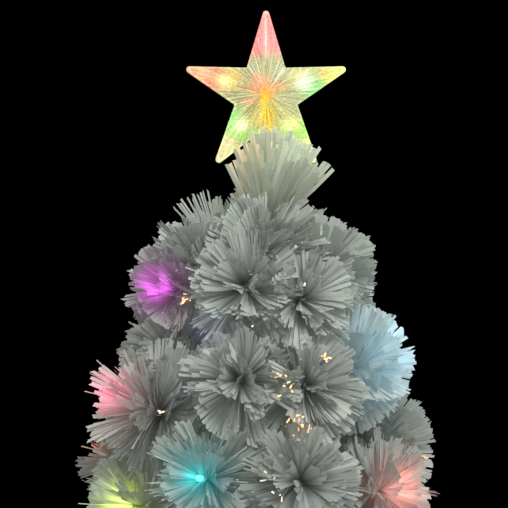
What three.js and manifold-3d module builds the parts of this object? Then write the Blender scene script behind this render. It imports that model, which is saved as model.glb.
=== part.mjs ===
// Fibre optic tabletop Christmas tree, in millimetres, +Z up, standing on z = 0, front towards -Y.
// Tufts of white plastic strips end soft wire branches, which plug into collars on a hollow trunk.
// The fibre bundle runs down the trunk to a lamp and a turning colour wheel in the round base.
// A clear star of two ribbed shells, with five lamps inside, plugs onto the tip rod.
import * as THREE from 'three';
import { mergeVertices } from 'three/addons/utils/BufferGeometryUtils.js';
import Module from 'manifold-3d';

const wasm = await Module();
wasm.setup();

// Gap between pieces that seat on each other, overrun of cuts, merging distance of shared points
const SEAT_GAP = 0.3;
const CUT_OVERRUN = 2;
const MERGE_DISTANCE = 0.0001;

// Rubber feet, pegged into the cover
const FOOT_COUNT = 4;
const FOOT_HEIGHT = 4;
const FOOT_RADIUS = 8;
const FOOT_CHAMFER = 1;
const FOOT_INSET = 16;
const FOOT_PEG_RADIUS = 3;

// Bottom cover, with a cradle wall round the lamp module and the motor
const COVER_THICKNESS = 2.5;
const CRADLE_WALL = 2;
const CRADLE_HEIGHT = 6;
const SCREW_HOLE_RADIUS = 1.9;
const SCREW_HEAD_RADIUS = 3.6;
const SCREW_HEAD_DEPTH = 1;

// Base housing: drum, dome, neck and trunk socket in one shell
const BASE_RADIUS = 78;
const DRUM_HEIGHT = 44;
const DOME_HEIGHT = 22;
const NECK_RADIUS = 15;
const NECK_HEIGHT = 14;
const NECK_BEVEL = 1.5;
const SHELL_WALL = 2.4;
const SOCKET_WALL = 3;
const POST_COUNT = 4;
const POST_INSET = 16;
const POST_START_ANGLE = 45;
const POST_RADIUS = 4.2;
const POST_BORE_RADIUS = 1.4;
const POST_BORE_DEPTH = 14;
const VENT_COUNT = 7;
const VENT_WIDTH = 3;
const VENT_HEIGHT = 22;
const VENT_SPACING_ANGLE = 9;
const PAD_WIDTH = 56;
const PAD_HEIGHT = 30;
const PAD_PROUD = 0.6;

// Lamp module with cooling fins, under the trunk
const LAMP_RADIUS = 9.3;
const LAMP_FIN_COUNT = 2;
const LAMP_FIN_PITCH = 5;
const LAMP_GROOVE_DEPTH = 1.5;
const LAMP_LENS_RADIUS = 5;

// Wheel motor and colour wheel, beside the lamp
const WHEEL_OFFSET = 23;
const MOTOR_RADIUS = 12;
const MOTOR_HEIGHT = 15;
const MOTOR_LIP = 1;
const SHAFT_RADIUS = 1.5;
const WHEEL_EDGE_MARGIN = 2;
const WHEEL_THICKNESS = 1.5;
const WHEEL_LIFT = 7;
const WHEEL_RIM_WIDTH = 2;
const WHEEL_RIM_RISE = 0.6;
const WHEEL_HUB_RADIUS = 4.5;
const WHEEL_HUB_RISE = 4;
const WHEEL_HUB_CAP = 1.2;
const BEAM_GAP = 2.6;

// Trunk tube with its climb above the neck of the base, fibre bundle and tip rod
const TRUNK_RADIUS = 7;
const TRUNK_WALL = 1.2;
const TRUNK_CLIMB = 341;
const FERRULE_RADIUS = 5.2;
const FERRULE_LENGTH = 18;
const FERRULE_REACH = 5;
const BUNDLE_RADIUS = 4.4;
const BUNDLE_FLUTE = 0.35;
const BUNDLE_LOBES = 7;
const BUNDLE_LOBE_STEPS = 4;
const ROD_RADIUS = 3;
const ROD_PLUG_LENGTH = 20;
const ROD_HEAD_THICKNESS = 3;
const ROD_CLIMB = 80;

// Thumb screw in the neck, which holds the trunk
const THUMB_SHANK_RADIUS = 2.5;
const THUMB_HEAD_RADIUS = 7;
const THUMB_HEAD_LENGTH = 8;
const THUMB_HEAD_STANDOFF = 3;
const THUMB_FLUTE_DEPTH = 0.8;
const THUMB_FLUTE_COUNT = 12;

// Switch and inlet on the flat pad at the back
const SWITCH_SIDE_OFFSET = -13;
const SWITCH_WIDTH = 13.4;
const SWITCH_HEIGHT = 20.4;
const SWITCH_DEPTH = 13;
const SWITCH_FLANGE = 2;
const SWITCH_FLANGE_THICKNESS = 1.6;
const SWITCH_WALL = 1.8;
const ROCKER_PIN_RADIUS = 1;
const ROCKER_PIN_SETBACK = 2.4;
const ROCKER_DEPTH = 3.4;
const ROCKER_HOLLOW = 1.1;
const ROCKER_SWING_ANGLE = 8;
const ROCKER_SIDE_GAP = 0.3;
const ROCKER_END_GAP = 0.9;
const INLET_SIDE_OFFSET = 14;
const INLET_BARREL_RADIUS = 5;
const INLET_BORE_RADIUS = 3.1;
const INLET_BORE_DEPTH = 9;
const INLET_LENGTH = 12;
const INLET_FLANGE_RADIUS = 7;
const INLET_FLANGE_THICKNESS = 1.6;
const INLET_PIN_RADIUS = 1;
const INLET_PIN_SETBACK = 1.5;

// Branch collars on the trunk
const COLLAR_RADIUS = 14;
const COLLAR_HEIGHT = 14;
const COLLAR_BEVEL = 1.5;
const COLLAR_SOCKET_DEPTH = 4.6;
const COLLAR_SOCKET_TILT = 20;

// Branches: wire stem, hub, and strips gathered in notched locks in two rows round the hub
const STEM_RADIUS = 1.8;
const FRINGE_REACH = 16;
const FRINGE_MARGIN = 1.5;
const HUB_RADIUS = 4.5;
const HUB_ROW_LENGTH = 4;
const HUB_WAIST_LENGTH = 2;
const HUB_TAPER_LENGTH = 5;
const HUB_CAP_LENGTH = 3;
const BULB_RADIUS = 2.5;
const BULB_LENGTH = 7;
const BULB_NOSE = 2.2;
const STRIP_LENGTH = 58;
const TOP_STRIP_LENGTH = 84;
const STRIP_TIP_THICKNESS = 0.9;
const STRIP_MARGIN = 0.6;
const LOCK_MARGIN = 2.8;

// The hub and the stem have one side for each lock of a row
const LOCK_COUNT = 6;
const ROW_COUNT = 2;
const STEM_CURVE_STEPS = 3;
const BARE_STEM_RINGS = 2;
const LOCK_DRAWS = 5;

// Tiers of branches: reach of the lowest tier from the trunk, and rise of each above its collar
const TREE_REACH = 135;
const TIER_E_RISE = 26;
const TIER_D_RISE = 36;
const TIER_C_RISE = 40;
const TIER_B_RISE = 40;
const TIER_A_RISE = 26;
const TOP_TUFT_CLIMB = 16;

// Star: points, half depth, shells and socket
const STAR_POINTS = 5;
const STAR_LOWER_POINTS = [2, 3];
const STAR_RADIUS = 78.5;
const STAR_NOTCH_RADIUS = 30.7;
const STAR_TIP_ROUND = 3;
const STAR_HALF_DEPTH = 12;
const STAR_RIM_HALF_DEPTH = 3.2;
const STAR_WALL = 1.3;
const STAR_RIB_HEIGHT = 0.9;
const STAR_EDGE_STEPS = 7;
const STAR_CLIMB = 56;
const STAR_SOCKET_RADIUS = 8;
const STAR_SOCKET_DEPTH = 34;
const STAR_NECK_RADIUS = 4.6;
const STAR_NECK_TAPER = 10;
const STAR_LAMP_PLATE_RADIUS = 8;
const STAR_LAMP_PLATE_THICKNESS = 1.6;
const STAR_LAMP_ARM_WIDTH = 3.4;
const STAR_LAMP_BULB_RADIUS = 2.4;
const STAR_LAMP_PIN_RADIUS = 2;
const STAR_LAMP_PIN_LENGTH = 12;

// Shares of the trunk's climb at which the collars sit, and of the lowest tier's reach for the upper ones
const TIER_E_CLIMB_SHARE = 0.047;
const TIER_D_CLIMB_SHARE = 0.238;
const TIER_C_CLIMB_SHARE = 0.487;
const TIER_B_CLIMB_SHARE = 0.721;
const TIER_A_CLIMB_SHARE = 0.883;
const TIER_D_REACH_SHARE = 0.874;
const TIER_C_REACH_SHARE = 0.741;
const TIER_B_REACH_SHARE = 0.563;
const TIER_A_REACH_SHARE = 0.311;

// Shares: the lamp circle and the rib ring of the star, the bend of a stem, and the shape of a lock
const STAR_LAMP_CIRCLE_SHARE = 0.52;
const STAR_RING_SHARE = 0.45;
const STEM_BEND_SHARE = 0.35;
const FRINGE_ROOM_SHARE = 0.85;
const LOCK_NOTCH_SHARE = 0.8;
const LOCK_SPREAD_SHARE = 0.8;
const LOCK_LEAST_SHARE = 0.2;
const LOCK_TRIM_SHARE = 0.9;
const LOCK_WAVER_SHARE = 0.08;

// Counts of faces round turned pieces
const WIDE_SIDES = 36;
const WHEEL_SIDES = 24;
const SMALL_SIDES = 16;
const FINE_SIDES = 8;
const DOME_STEPS = 4;
const LENS_STEPS = 4;

// Angles of the two rows of locks from the axis of their tuft, in degrees
const SIDE_ROW_ANGLE = 78;
const FRONT_ROW_ANGLE = 44;
const TOP_SIDE_ROW_ANGLE = 50;
const TOP_FRONT_ROW_ANGLE = 27;
const LOCK_WAVER_ANGLE = 4;

// Degrees of a whole turn
const WHOLE_TURN = 360;

// Numbers behind the small sway of the locks
const SWAY_STEP = 2.399;
const SWAY_WARP = 1.7;
const SWAY_DEPTH = 2;

// One row for each branch: azimuth, reach share, rise share, tilt of the tuft, and whether it has a lamp
const PLAIN = false;
const LAMP = true;
const TIERS = [
  {
    letter: 'e', rise: TIER_E_RISE,
    climb: TRUNK_CLIMB * TIER_E_CLIMB_SHARE, reach: TREE_REACH,
    rows: [
      [0, 1, 1, 4, PLAIN], [45, 1, 1, 4, LAMP], [90, 1, 1, 4, PLAIN], [135, 1, 1, 4, PLAIN],
      [180, 1, 1, 4, PLAIN], [225, 1, 1, 4, LAMP], [270, 1, 1, 4, PLAIN], [315, 1, 1, 4, LAMP],
    ],
  },
  {
    letter: 'd', rise: TIER_D_RISE,
    climb: TRUNK_CLIMB * TIER_D_CLIMB_SHARE, reach: TREE_REACH * TIER_D_REACH_SHARE,
    rows: [
      [-76, 1, 1.28, 12, PLAIN], [-117, 1, 1.32, 10, LAMP], [-160, 1.07, 0.45, 5, LAMP],
      [168, 1.05, 1.3, 10, LAMP], [-20, 0.98, 0.8, 8, LAMP], [15, 0.9, 1.72, 20, PLAIN],
      [62, 1, 1, 12, PLAIN], [117, 1, 1, 12, LAMP],
    ],
  },
  {
    letter: 'c', rise: TIER_C_RISE,
    climb: TRUNK_CLIMB * TIER_C_CLIMB_SHARE, reach: TREE_REACH * TIER_C_REACH_SHARE,
    rows: [
      [-103, 1, 1.22, 12, PLAIN], [-68, 0.9, 1.08, 15, PLAIN], [-5, 0.86, 1.42, 20, LAMP],
      [42, 1, 1, 20, PLAIN], [90, 1, 1, 20, LAMP], [137, 1, 1, 20, PLAIN],
      [-155, 1.13, 0.46, 22, LAMP], [-178, 0.84, 1.7, 30, PLAIN],
    ],
  },
  {
    letter: 'b', rise: TIER_B_RISE,
    climb: TRUNK_CLIMB * TIER_B_CLIMB_SHARE, reach: TREE_REACH * TIER_B_REACH_SHARE,
    rows: [
      [-104, 1, 1.3, 25, PLAIN], [-64, 0.92, 1, 20, PLAIN], [45, 1, 0.9, 30, LAMP],
      [112, 1, 0.9, 30, PLAIN], [190, 1.1, 1.2, 12, LAMP],
    ],
  },
  {
    letter: 'a', rise: TIER_A_RISE,
    climb: TRUNK_CLIMB * TIER_A_CLIMB_SHARE, reach: TREE_REACH * TIER_A_REACH_SHARE,
    rows: [
      [-92, 0.85, 1, 72, PLAIN], [-15, 1.2, 0.45, 20, PLAIN], [60, 1, 1.1, 50, PLAIN],
      [140, 1.2, 1.1, 45, PLAIN], [195, 1.5, 0.6, 40, PLAIN],
    ],
  },
];

// Circles that follow from the sizes: the wheel just covers the lamp's lens
const footCircleRadius = BASE_RADIUS - FOOT_INSET;
const postCircleRadius = BASE_RADIUS - POST_INSET;
const wheelRadius = WHEEL_OFFSET + LAMP_LENS_RADIUS + WHEEL_EDGE_MARGIN;

// Heights that follow from the sizes
const coverBottom = FOOT_HEIGHT + SEAT_GAP;
const coverTop = coverBottom + COVER_THICKNESS;
const engineBottom = coverTop + SEAT_GAP;
const motorTop = engineBottom + MOTOR_HEIGHT;
const wheelBottom = motorTop + WHEEL_LIFT;
const wheelTop = wheelBottom + WHEEL_THICKNESS;
const bundleBottom = wheelTop + BEAM_GAP;
const ledgeBottom = bundleBottom + FERRULE_REACH;
const ledgeTop = ledgeBottom + SHELL_WALL;
const trunkBottom = ledgeTop + SEAT_GAP;
const drumTop = coverBottom + DRUM_HEIGHT;
const domeTop = drumTop + DOME_HEIGHT;
const neckTop = domeTop + NECK_HEIGHT;
const panelHeight = coverBottom + DRUM_HEIGHT / 2;
const panelFace = BASE_RADIUS + PAD_PROUD;
const collarHeights = TIERS.map((tier) => neckTop + tier.climb);
const trunkTop = neckTop + TRUNK_CLIMB;
const topTuftHeight = trunkTop + TOP_TUFT_CLIMB;
const rodTop = trunkTop + ROD_CLIMB;
const starHeight = rodTop + STAR_CLIMB;
const starSocketBottom = rodTop + SEAT_GAP - STAR_SOCKET_DEPTH;

// Materials
const plastic = (color, roughness) => new THREE.MeshStandardMaterial({ color, roughness, metalness: 0 });
const metal = (color, roughness) => new THREE.MeshStandardMaterial({ color, roughness, metalness: 1 });
const whiteHousing = plastic(0xe9e9e4, 0.45);
const whiteStrips = plastic(0xd6dad2, 0.5);
const clearShell = new THREE.MeshStandardMaterial({
  color: 0xeef3ee, roughness: 0.15, metalness: 0, transparent: true, opacity: 0.5,
});
const clearPlastic = plastic(0xdfe8e2, 0.2);
const blackPlastic = plastic(0x1c1c1e, 0.5);
const rubber = plastic(0x2a2a2b, 0.85);
const steel = metal(0xb5b8ba, 0.35);
const wheelFilm = plastic(0x5f9bd0, 0.3);

const radians = THREE.MathUtils.degToRad;

// A small steady sway between -1 and 1, different for each number, so that no two locks are alike
function sway(number) {
  return Math.sin(number * SWAY_STEP + Math.cos(number * SWAY_WARP) * SWAY_DEPTH);
}

// Volume of a closed body from its faces, negative where they point inwards
function signedVolume(position, index) {
  const corner = [0, 1, 2].map(() => new THREE.Vector3());
  let sum = 0;
  for (let face = 0; face < index.length; face += 3) {
    corner.forEach((point, place) => point.fromArray(position, 3 * index[face + place]));
    sum += corner[0].dot(corner[1].cross(corner[2])) / 6;
  }
  return sum;
}

// Merge shared points, drop the empty faces at poles, and point every face outwards
function closedBody(geometry) {
  const bare = geometry.clone();
  for (const name of ['normal', 'uv']) {
    bare.deleteAttribute(name);
  }
  const merged = mergeVertices(bare, MERGE_DISTANCE);
  const position = merged.attributes.position.array;
  let index = [];
  for (let face = 0; face < merged.index.count; face += 3) {
    const [a, b, c] = [0, 1, 2].map((place) => merged.index.getX(face + place));
    if (a !== b && b !== c && c !== a) {
      index.push(a, b, c);
    }
  }
  if (signedVolume(position, index) < 0) {
    index = index.reverse();
  }
  merged.setIndex(index);
  merged.computeVertexNormals();
  return merged;
}

function toSolid(geometry) {
  const body = closedBody(geometry);
  return new wasm.Manifold(new wasm.Mesh({
    numProp: 3,
    vertProperties: new Float32Array(body.attributes.position.array),
    triVerts: new Uint32Array(body.index.array),
  }));
}

function fromSolid(solid) {
  const mesh = solid.getMesh();
  const geometry = new THREE.BufferGeometry();
  geometry.setAttribute('position', new THREE.BufferAttribute(new Float32Array(mesh.vertProperties), 3));
  geometry.setIndex(new THREE.BufferAttribute(new Uint32Array(mesh.triVerts), 1));
  geometry.computeVertexNormals();
  return geometry;
}

// Join the first list of geometries and cut the second list out of them
function joinAndCut(joined, cut) {
  let solid = toSolid(joined[0]);
  for (const geometry of joined.slice(1)) {
    solid = solid.add(toSolid(geometry));
  }
  for (const geometry of cut) {
    solid = solid.subtract(toSolid(geometry));
  }
  return fromSolid(solid);
}

// Turn a profile of [radius, height] points about Z
function turned(profile, sides) {
  const points = profile.map(([radius, height]) => new THREE.Vector2(radius, height));
  return closedBody(new THREE.LatheGeometry(points, sides).rotateX(Math.PI / 2));
}

// A ring profile closes on itself
function turnedRing(profile, sides) {
  return turned([...profile, profile[0]], sides);
}

function cylinder(radius, bottom, top, sides) {
  return turned([[0, bottom], [radius, bottom], [radius, top], [0, top]], sides);
}

// A box between two corners
function boxBetween(low, high) {
  const size = low.map((value, axis) => high[axis] - value);
  const middle = low.map((value, axis) => (high[axis] + value) / 2);
  return new THREE.BoxGeometry(...size).translate(...middle);
}

// Points of an elliptic quarter from the drum to the neck, without its two ends
function domeArc(foot, top, reach, height) {
  const points = [];
  for (let step = 1; step < DOME_STEPS; step += 1) {
    const angle = (step / DOME_STEPS) * (Math.PI / 2);
    points.push([foot + reach * Math.cos(angle), top + height * Math.sin(angle)]);
  }
  return points;
}

function named(name, geometry, material) {
  const mesh = new THREE.Mesh(geometry, material);
  mesh.name = name;
  return mesh;
}

// Place a copy at each of count even steps round a circle, starting at an angle in degrees
function roundCircle(count, radius, start, make) {
  return Array.from({ length: count }, (_, number) => {
    const angle = radians(start) + (number / count) * 2 * Math.PI;
    return make(radius * Math.cos(angle), radius * Math.sin(angle), number);
  });
}

// Base housing
function housingGeometry() {
  const boreRadius = TRUNK_RADIUS + SEAT_GAP;
  const ledgeRadius = FERRULE_RADIUS + SEAT_GAP;
  const socketRadius = boreRadius + SOCKET_WALL;
  const innerRadius = BASE_RADIUS - SHELL_WALL;
  const shell = turnedRing([
    [innerRadius, coverBottom],
    [BASE_RADIUS, coverBottom],
    [BASE_RADIUS, drumTop],
    ...domeArc(NECK_RADIUS, drumTop, BASE_RADIUS - NECK_RADIUS, DOME_HEIGHT),
    [NECK_RADIUS, domeTop],
    [NECK_RADIUS, neckTop - NECK_BEVEL],
    [NECK_RADIUS - NECK_BEVEL, neckTop],
    [boreRadius, neckTop],
    [boreRadius, ledgeTop],
    [ledgeRadius, ledgeTop],
    [ledgeRadius, ledgeBottom],
    [socketRadius, ledgeBottom],
    [socketRadius, domeTop - SHELL_WALL],
    ...domeArc(socketRadius, drumTop, innerRadius - socketRadius, DOME_HEIGHT - SHELL_WALL).reverse(),
    [innerRadius, drumTop],
  ], WIDE_SIDES);
  const postTopShare = (postCircleRadius - socketRadius) / (innerRadius - socketRadius);
  const ceiling = (DOME_HEIGHT - SHELL_WALL) * Math.sqrt(1 - postTopShare ** 2);
  const postTop = drumTop + ceiling;
  const postBottom = coverTop + SEAT_GAP;
  const posts = roundCircle(POST_COUNT, postCircleRadius, POST_START_ANGLE, (x, y) => (
    cylinder(POST_RADIUS, postBottom, postTop, FINE_SIDES).translate(x, y, 0)));
  const bores = roundCircle(POST_COUNT, postCircleRadius, POST_START_ANGLE, (x, y) => (
    cylinder(POST_BORE_RADIUS, postBottom - CUT_OVERRUN, postBottom + POST_BORE_DEPTH, FINE_SIDES)
      .translate(x, y, 0)));
  const padInside = innerRadius - CUT_OVERRUN;
  const chordDepth = Math.sqrt(innerRadius ** 2 - (PAD_WIDTH / 2) ** 2) - CUT_OVERRUN;
  const padBottom = panelHeight - PAD_HEIGHT / 2;
  const padTop = panelHeight + PAD_HEIGHT / 2;
  const pad = boxBetween([-PAD_WIDTH / 2, chordDepth, padBottom], [PAD_WIDTH / 2, panelFace, padTop]);
  const padPocket = boxBetween(
    [-PAD_WIDTH / 2 + SHELL_WALL, chordDepth - CUT_OVERRUN, padBottom + SHELL_WALL],
    [PAD_WIDTH / 2 - SHELL_WALL, panelFace - SHELL_WALL, padTop - SHELL_WALL],
  );
  const switchHole = boxBetween(
    [SWITCH_SIDE_OFFSET - SWITCH_WIDTH / 2 - SEAT_GAP, padInside - CUT_OVERRUN,
      panelHeight - SWITCH_HEIGHT / 2 - SEAT_GAP],
    [SWITCH_SIDE_OFFSET + SWITCH_WIDTH / 2 + SEAT_GAP, panelFace + CUT_OVERRUN,
      panelHeight + SWITCH_HEIGHT / 2 + SEAT_GAP],
  );
  const inletHole = cylinder(INLET_BARREL_RADIUS + SEAT_GAP, padInside - CUT_OVERRUN,
    panelFace + CUT_OVERRUN, SMALL_SIDES).rotateX(-Math.PI / 2)
    .translate(INLET_SIDE_OFFSET, 0, panelHeight);
  const thumbHole = cylinder(THUMB_SHANK_RADIUS + SEAT_GAP, TRUNK_RADIUS, NECK_RADIUS + CUT_OVERRUN,
    SMALL_SIDES).rotateX(-Math.PI / 2).translate(0, 0, domeTop + NECK_HEIGHT / 2);
  return joinAndCut([shell, pad, ...posts],
    [padPocket, switchHole, inletHole, thumbHole, ...bores, ...ventCuts()]);
}

// Two fans of upright vent slots, one at each side of the drum
function ventCuts() {
  const cuts = [];
  for (const side of [0, WHOLE_TURN / 2]) {
    for (let slot = 0; slot < VENT_COUNT; slot += 1) {
      const angle = side + (slot - (VENT_COUNT - 1) / 2) * VENT_SPACING_ANGLE;
      cuts.push(boxBetween(
        [BASE_RADIUS - SHELL_WALL - CUT_OVERRUN, -VENT_WIDTH / 2, panelHeight - VENT_HEIGHT / 2],
        [BASE_RADIUS + CUT_OVERRUN, VENT_WIDTH / 2, panelHeight + VENT_HEIGHT / 2],
      ).rotateZ(radians(angle)));
    }
  }
  return cuts;
}

// Bottom cover with its cradle, screw holes and the holes for the pegs of the feet
function coverGeometry() {
  const coverRadius = BASE_RADIUS - SHELL_WALL - SEAT_GAP;
  const plate = cylinder(coverRadius, coverBottom, coverTop, WIDE_SIDES);
  const cradleTop = coverTop + CRADLE_HEIGHT;
  const lampSeat = LAMP_RADIUS + SEAT_GAP;
  const motorSeat = MOTOR_RADIUS + SEAT_GAP;
  const sunk = coverBottom + COVER_THICKNESS / 2;
  const walls = [
    cylinder(lampSeat + CRADLE_WALL, sunk, cradleTop, SMALL_SIDES),
    cylinder(motorSeat + CRADLE_WALL, sunk, cradleTop, SMALL_SIDES).translate(WHEEL_OFFSET, 0, 0),
  ];
  const seats = [
    cylinder(lampSeat, coverTop, cradleTop + CUT_OVERRUN, SMALL_SIDES),
    cylinder(motorSeat, coverTop, cradleTop + CUT_OVERRUN, SMALL_SIDES).translate(WHEEL_OFFSET, 0, 0),
  ];
  const pegHoles = roundCircle(FOOT_COUNT, footCircleRadius, 0, (x, y) => (
    cylinder(FOOT_PEG_RADIUS + SEAT_GAP, coverBottom - CUT_OVERRUN, coverTop + CUT_OVERRUN,
      FINE_SIDES).translate(x, y, 0)));
  const screwHoles = roundCircle(POST_COUNT, postCircleRadius, POST_START_ANGLE, (x, y) => turned([
    [0, coverBottom - CUT_OVERRUN],
    [SCREW_HEAD_RADIUS, coverBottom - CUT_OVERRUN],
    [SCREW_HEAD_RADIUS, coverBottom + SCREW_HEAD_DEPTH],
    [SCREW_HOLE_RADIUS, coverBottom + SCREW_HEAD_DEPTH],
    [SCREW_HOLE_RADIUS, coverTop + CUT_OVERRUN],
    [0, coverTop + CUT_OVERRUN],
  ], FINE_SIDES).translate(x, y, 0));
  return joinAndCut([plate, ...walls], [...seats, ...pegHoles, ...screwHoles]);
}

function footGeometry() {
  return turned([
    [0, 0],
    [FOOT_RADIUS - FOOT_CHAMFER, 0],
    [FOOT_RADIUS, FOOT_CHAMFER],
    [FOOT_RADIUS, FOOT_HEIGHT],
    [FOOT_PEG_RADIUS, FOOT_HEIGHT],
    [FOOT_PEG_RADIUS, coverTop],
    [0, coverTop],
  ], FINE_SIDES);
}

// Lamp module: finned body and domed lens
function lampModuleGeometry() {
  const grooveRadius = LAMP_RADIUS - LAMP_GROOVE_DEPTH;
  const profile = [[0, 0]];
  for (let fin = 0; fin < LAMP_FIN_COUNT; fin += 1) {
    const bottom = fin * LAMP_FIN_PITCH;
    profile.push([LAMP_RADIUS, bottom], [LAMP_RADIUS, bottom + LAMP_FIN_PITCH / 2]);
    profile.push([grooveRadius, bottom + LAMP_FIN_PITCH / 2], [grooveRadius, bottom + LAMP_FIN_PITCH]);
  }
  const lensFoot = LAMP_FIN_COUNT * LAMP_FIN_PITCH;
  for (let step = 0; step <= LENS_STEPS; step += 1) {
    const angle = (step / LENS_STEPS) * (Math.PI / 2);
    profile.push([LAMP_LENS_RADIUS * Math.cos(angle), lensFoot + LAMP_LENS_RADIUS * Math.sin(angle)]);
  }
  profile[profile.length - 1][0] = 0;
  return turned(profile, SMALL_SIDES);
}

// Motor can with a lip and a shaft that reaches into the hub of the wheel
function motorGeometry() {
  const shaftTop = wheelTop + WHEEL_HUB_RISE - WHEEL_HUB_CAP - SEAT_GAP - engineBottom;
  return turned([
    [0, 0],
    [MOTOR_RADIUS, 0],
    [MOTOR_RADIUS, MOTOR_HEIGHT - MOTOR_LIP],
    [MOTOR_RADIUS - MOTOR_LIP, MOTOR_HEIGHT],
    [SHAFT_RADIUS + MOTOR_LIP, MOTOR_HEIGHT],
    [SHAFT_RADIUS + MOTOR_LIP, MOTOR_HEIGHT + MOTOR_LIP],
    [SHAFT_RADIUS, MOTOR_HEIGHT + MOTOR_LIP],
    [SHAFT_RADIUS, shaftTop],
    [0, shaftTop],
  ], SMALL_SIDES);
}

// Colour wheel: a disc with a raised rim, and a hub whose blind bore sits on the shaft
function wheelGeometry() {
  const boreRadius = SHAFT_RADIUS + SEAT_GAP;
  const hubBottom = -WHEEL_HUB_RISE;
  const hubTop = WHEEL_THICKNESS + WHEEL_HUB_RISE;
  return turned([
    [0, hubTop - WHEEL_HUB_CAP],
    [boreRadius, hubTop - WHEEL_HUB_CAP],
    [boreRadius, hubBottom],
    [WHEEL_HUB_RADIUS, hubBottom],
    [WHEEL_HUB_RADIUS, 0],
    [wheelRadius, 0],
    [wheelRadius, WHEEL_THICKNESS + WHEEL_RIM_RISE],
    [wheelRadius - WHEEL_RIM_WIDTH, WHEEL_THICKNESS + WHEEL_RIM_RISE],
    [wheelRadius - WHEEL_RIM_WIDTH, WHEEL_THICKNESS],
    [WHEEL_HUB_RADIUS, WHEEL_THICKNESS],
    [WHEEL_HUB_RADIUS, hubTop],
    [0, hubTop],
  ], WHEEL_SIDES);
}

// Fibre bundle: packed fibres show as lobes, gathered in a plain ferrule at the lamp end
function bundleGeometry() {
  const top = trunkTop - ROD_PLUG_LENGTH - SEAT_GAP - bundleBottom;
  const outline = new THREE.Shape();
  const steps = BUNDLE_LOBES * BUNDLE_LOBE_STEPS;
  for (let step = 0; step < steps; step += 1) {
    const angle = (step / steps) * 2 * Math.PI;
    const radius = BUNDLE_RADIUS + BUNDLE_FLUTE * Math.cos(BUNDLE_LOBES * angle);
    const place = [radius * Math.cos(angle), radius * Math.sin(angle)];
    if (step === 0) {
      outline.moveTo(...place);
    } else {
      outline.lineTo(...place);
    }
  }
  const fibres = new THREE.ExtrudeGeometry(outline, {
    depth: top - FERRULE_LENGTH / 2, bevelEnabled: false, steps: 1,
  }).translate(0, 0, FERRULE_LENGTH / 2);
  return joinAndCut([fibres, cylinder(FERRULE_RADIUS, 0, FERRULE_LENGTH, SMALL_SIDES)], []);
}

function trunkGeometry() {
  const length = trunkTop - trunkBottom;
  return turnedRing([
    [TRUNK_RADIUS - TRUNK_WALL, 0],
    [TRUNK_RADIUS, 0],
    [TRUNK_RADIUS, length],
    [TRUNK_RADIUS - TRUNK_WALL, length],
  ], SMALL_SIDES);
}

// Tip rod: a plug in the trunk, a head that rests on its end, and the rod for the tuft and the star
function rodGeometry() {
  const plugRadius = TRUNK_RADIUS - TRUNK_WALL - SEAT_GAP;
  const headBottom = SEAT_GAP;
  return turned([
    [0, -ROD_PLUG_LENGTH],
    [plugRadius, -ROD_PLUG_LENGTH],
    [plugRadius, headBottom],
    [TRUNK_RADIUS, headBottom],
    [TRUNK_RADIUS, headBottom + ROD_HEAD_THICKNESS],
    [ROD_RADIUS, headBottom + ROD_HEAD_THICKNESS],
    [ROD_RADIUS, ROD_CLIMB],
    [0, ROD_CLIMB],
  ], SMALL_SIDES);
}

// Thumb screw along Y, with its shank end at the trunk: shank from y = 0 outwards
function thumbScrewGeometry() {
  const shankEnd = NECK_RADIUS - TRUNK_RADIUS - SEAT_GAP + THUMB_HEAD_STANDOFF;
  const outline = new THREE.Shape();
  const steps = THUMB_FLUTE_COUNT * 2;
  for (let step = 0; step < steps; step += 1) {
    const angle = (step / steps) * 2 * Math.PI;
    const radius = THUMB_HEAD_RADIUS - (step % 2) * THUMB_FLUTE_DEPTH;
    const place = [radius * Math.cos(angle), radius * Math.sin(angle)];
    if (step === 0) {
      outline.moveTo(...place);
    } else {
      outline.lineTo(...place);
    }
  }
  const head = new THREE.ExtrudeGeometry(outline, {
    depth: THUMB_HEAD_LENGTH, bevelEnabled: false, steps: 1,
  }).translate(0, 0, shankEnd);
  const shank = cylinder(THUMB_SHANK_RADIUS, 0, shankEnd + THUMB_HEAD_LENGTH / 2, SMALL_SIDES);
  return joinAndCut([head, shank], []).rotateX(-Math.PI / 2);
}

// Switch body: flange outside the pad, box behind it, pocket and pin holes for the rocker
function switchBodyGeometry() {
  const flangeBack = SEAT_GAP;
  const face = flangeBack + SWITCH_FLANGE_THICKNESS;
  const halfWidth = SWITCH_WIDTH / 2;
  const halfHeight = SWITCH_HEIGHT / 2;
  const body = boxBetween([-halfWidth, face - SWITCH_DEPTH, -halfHeight], [halfWidth, face, halfHeight]);
  const flange = boxBetween(
    [-halfWidth - SWITCH_FLANGE, flangeBack, -halfHeight - SWITCH_FLANGE],
    [halfWidth + SWITCH_FLANGE, face, halfHeight + SWITCH_FLANGE],
  );
  const pocket = boxBetween(
    [-halfWidth + SWITCH_WALL, face - SWITCH_DEPTH + SWITCH_WALL, -halfHeight + SWITCH_WALL],
    [halfWidth - SWITCH_WALL, face + CUT_OVERRUN, halfHeight - SWITCH_WALL],
  );
  const pinHole = cylinder(ROCKER_PIN_RADIUS + SEAT_GAP, -halfWidth - CUT_OVERRUN, halfWidth + CUT_OVERRUN,
    SMALL_SIDES).rotateY(Math.PI / 2).translate(0, face - ROCKER_PIN_SETBACK, 0);
  return joinAndCut([body, flange], [pocket, pinHole]);
}

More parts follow.
